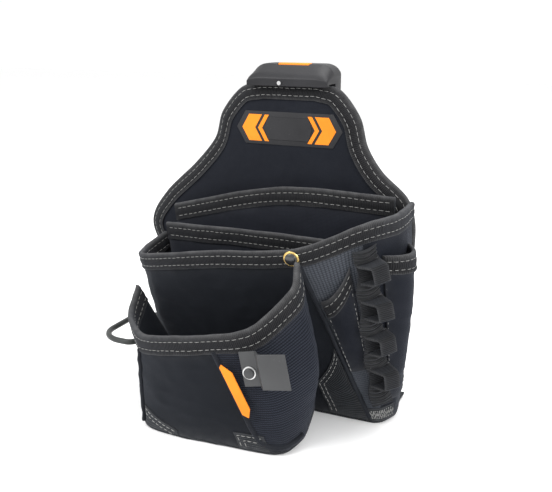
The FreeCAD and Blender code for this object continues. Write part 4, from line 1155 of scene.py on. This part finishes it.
def hub_parts():
    round_hood(rounded_copy("hub_receiver_moulding", "hub_receiver", 0.8 * MM, HUB_PLASTIC))
    rounded_copy("belt_hub_moulding", "belt_hub", 0.8 * MM, HUB_PLASTIC, "belt_hub")
    rounded_copy("belt_gate_moulding", "belt_gate", 0.5 * MM, HUB_PLASTIC, "belt_gate")
    rounded_copy("release_button_cap", "release_button", 1.2 * MM, ORANGE_PLASTIC,
                 "release_button")
    for node in ("gate_pin", "receiver_rivets", "hood_rivet", "button_spring"):
        wear_material(node, BRIGHT_STEEL)
    wear_material("hammer_loop", COATED_ROD)


def wear_material(node, material):
    """Gives a CAD part that is already the right shape its finish."""
    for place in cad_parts[node].material_slots:
        place.material = material


def label_and_badge():
    rounded_copy("label_tab_rubber", "label_tab", 0.35 * MM, ORANGE_RUBBER)
    rounded_copy("badge_rubber", "badge_patch", 0.4 * MM, BADGE_RUBBER)
    badge_marks()


def raised(name, corners, front, material, height=0.6 * MM):
    """A flat mark on the badge's face, from (x, z) corners, standing forward of it."""
    count = len(corners)
    vertices = [(x, front, z) for x, z in corners] + [(x, front - height, z) for x, z in corners]
    faces = [tuple(range(count)), tuple(range(2 * count - 1, count - 1, -1))]
    faces += [(k, (k + 1) % count, count + (k + 1) % count, count + k) for k in range(count)]
    return piece(name, vertices, faces, material, weave=[(x, z) for x, z in corners] * 2)


def badge_marks():
    """Two orange chevrons at each end of the badge, and a plain raised field between them."""
    low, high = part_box("badge_patch")
    middle, half = (low.z + high.z) / 2, (high.z - low.z) / 2 - 3 * MM
    front = low.y + 0.1 * MM
    for side in (-1, 1):
        for k, (reach, wide) in enumerate(((high.x - 6 * MM, 13 * MM), (high.x - 22 * MM, 4 * MM))):
            tip, slope = side * reach, side * 7 * MM
            corners = [(tip, middle), (tip - slope, middle + half), (tip - slope - side * wide, middle + half),
                       (tip - side * wide, middle), (tip - slope - side * wide, middle - half),
                       (tip - slope, middle - half)]
            mark = ("left" if side < 0 else "right") + f"_{k + 1}"
            raised("badge_chevron_" + mark, corners, front, ORANGE_RUBBER)
    edge, tall = 20 * MM, half - 2 * MM
    corners = [(-edge, middle - tall), (edge, middle - tall), (edge + 3 * MM, middle), (edge, middle + tall),
               (-edge, middle + tall), (-edge - 3 * MM, middle)]
    raised("badge_field", corners, front, BADGE_RUBBER, 0.8 * MM)


def hammer_sleeve():
    """Webbing wrapped round the loop's inner bar and sewn to the gusset."""
    low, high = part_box("hammer_loop_sleeve")
    middle = (low + high) / 2
    radius = (high.z - low.z) / 2
    rows = np.linspace(low.y, high.y, 26)
    outer, inner = [], []
    for y in rows:
        ring_out, ring_in = [], []
        for angle in np.linspace(-0.5 * math.pi, 1.5 * math.pi, 41):
            fuzz = 0.12 * MM * noise.noise(Vector((y * 300, math.cos(angle), math.sin(angle))))
            way = Vector((math.cos(angle), 0, math.sin(angle)))
            ring_out.append(Vector((middle.x, y, middle.z)) + way * (radius + fuzz))
            ring_in.append(Vector((middle.x, y, middle.z)) + way * (radius - 2 * MM))
        outer.append(ring_out)
        inner.append(ring_in)
    made = shell("hammer_loop_webbing", np.array(outer), np.array(inner), WEBBING, turned=True)
    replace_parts(made, "hammer_loop_sleeve")


# ------------------------------------------------------------------ studio
def studio():
    bpy.ops.mesh.primitive_plane_add(size=8, location=(0, 0, -0.0003))
    floor = bpy.context.object
    floor.name = "studio_floor"
    paint = Shader("floor_paint", Roughness=0.6, Base_Color=rgb(0.97, 0.97, 0.97))
    floor.data.materials.append(paint.material)
    world = bpy.data.worlds.new("studio")
    bpy.context.scene.world = world
    world.use_nodes = True
    sky = world.node_tree.nodes["Background"].inputs
    sky["Color"].default_value = rgb(1, 1, 1)
    sky["Strength"].default_value = 1.02
    aim = Vector((0, -0.06, 0.12))
    for name, place, wide, power in (("key_light", (-0.7, -1.0, 1.25), 0.8, 18),
                                     ("side_light", (1.1, -0.5, 0.7), 0.7, 10),
                                     ("top_light", (0.1, 0.3, 1.5), 1.0, 14)):
        lamp = bpy.data.lights.new(name, "AREA")
        lamp.size = wide
        lamp.energy = power
        made = bpy.data.objects.new(name, lamp)
        made.location = place
        made.rotation_euler = (aim - Vector(place)).to_track_quat("-Z", "Y").to_euler()
        bpy.context.scene.collection.objects.link(made)
    bpy.context.scene.view_settings.view_transform = "Standard"


def camera():
    """The photographer's place: to the right of the front, looking down a little."""
    turn, tilt = math.radians(25), math.radians(16)
    forward = Vector((-math.sin(turn) * math.cos(tilt), math.cos(turn) * math.cos(tilt), -math.sin(tilt)))
    lens = bpy.data.cameras.new("camera")
    lens.lens = 51.2
    lens.sensor_width = 36
    lens.clip_start = 0.01
    made = bpy.data.objects.new("camera", lens)
    made.location = (0.2891, -0.6472, 0.3386)
    made.rotation_euler = forward.to_track_quat("-Z", "Y").to_euler()
    bpy.context.scene.collection.objects.link(made)
    bpy.context.scene.camera = made


camera()
studio()
bag_walls()
inner_pockets()
piped_seams()
corner_patches()
outer_pockets()
tool_loops()
bag_floors()
back_panel()
back_panel_binding()
hub_parts()
hardware()
label_and_badge()
hammer_sleeve()
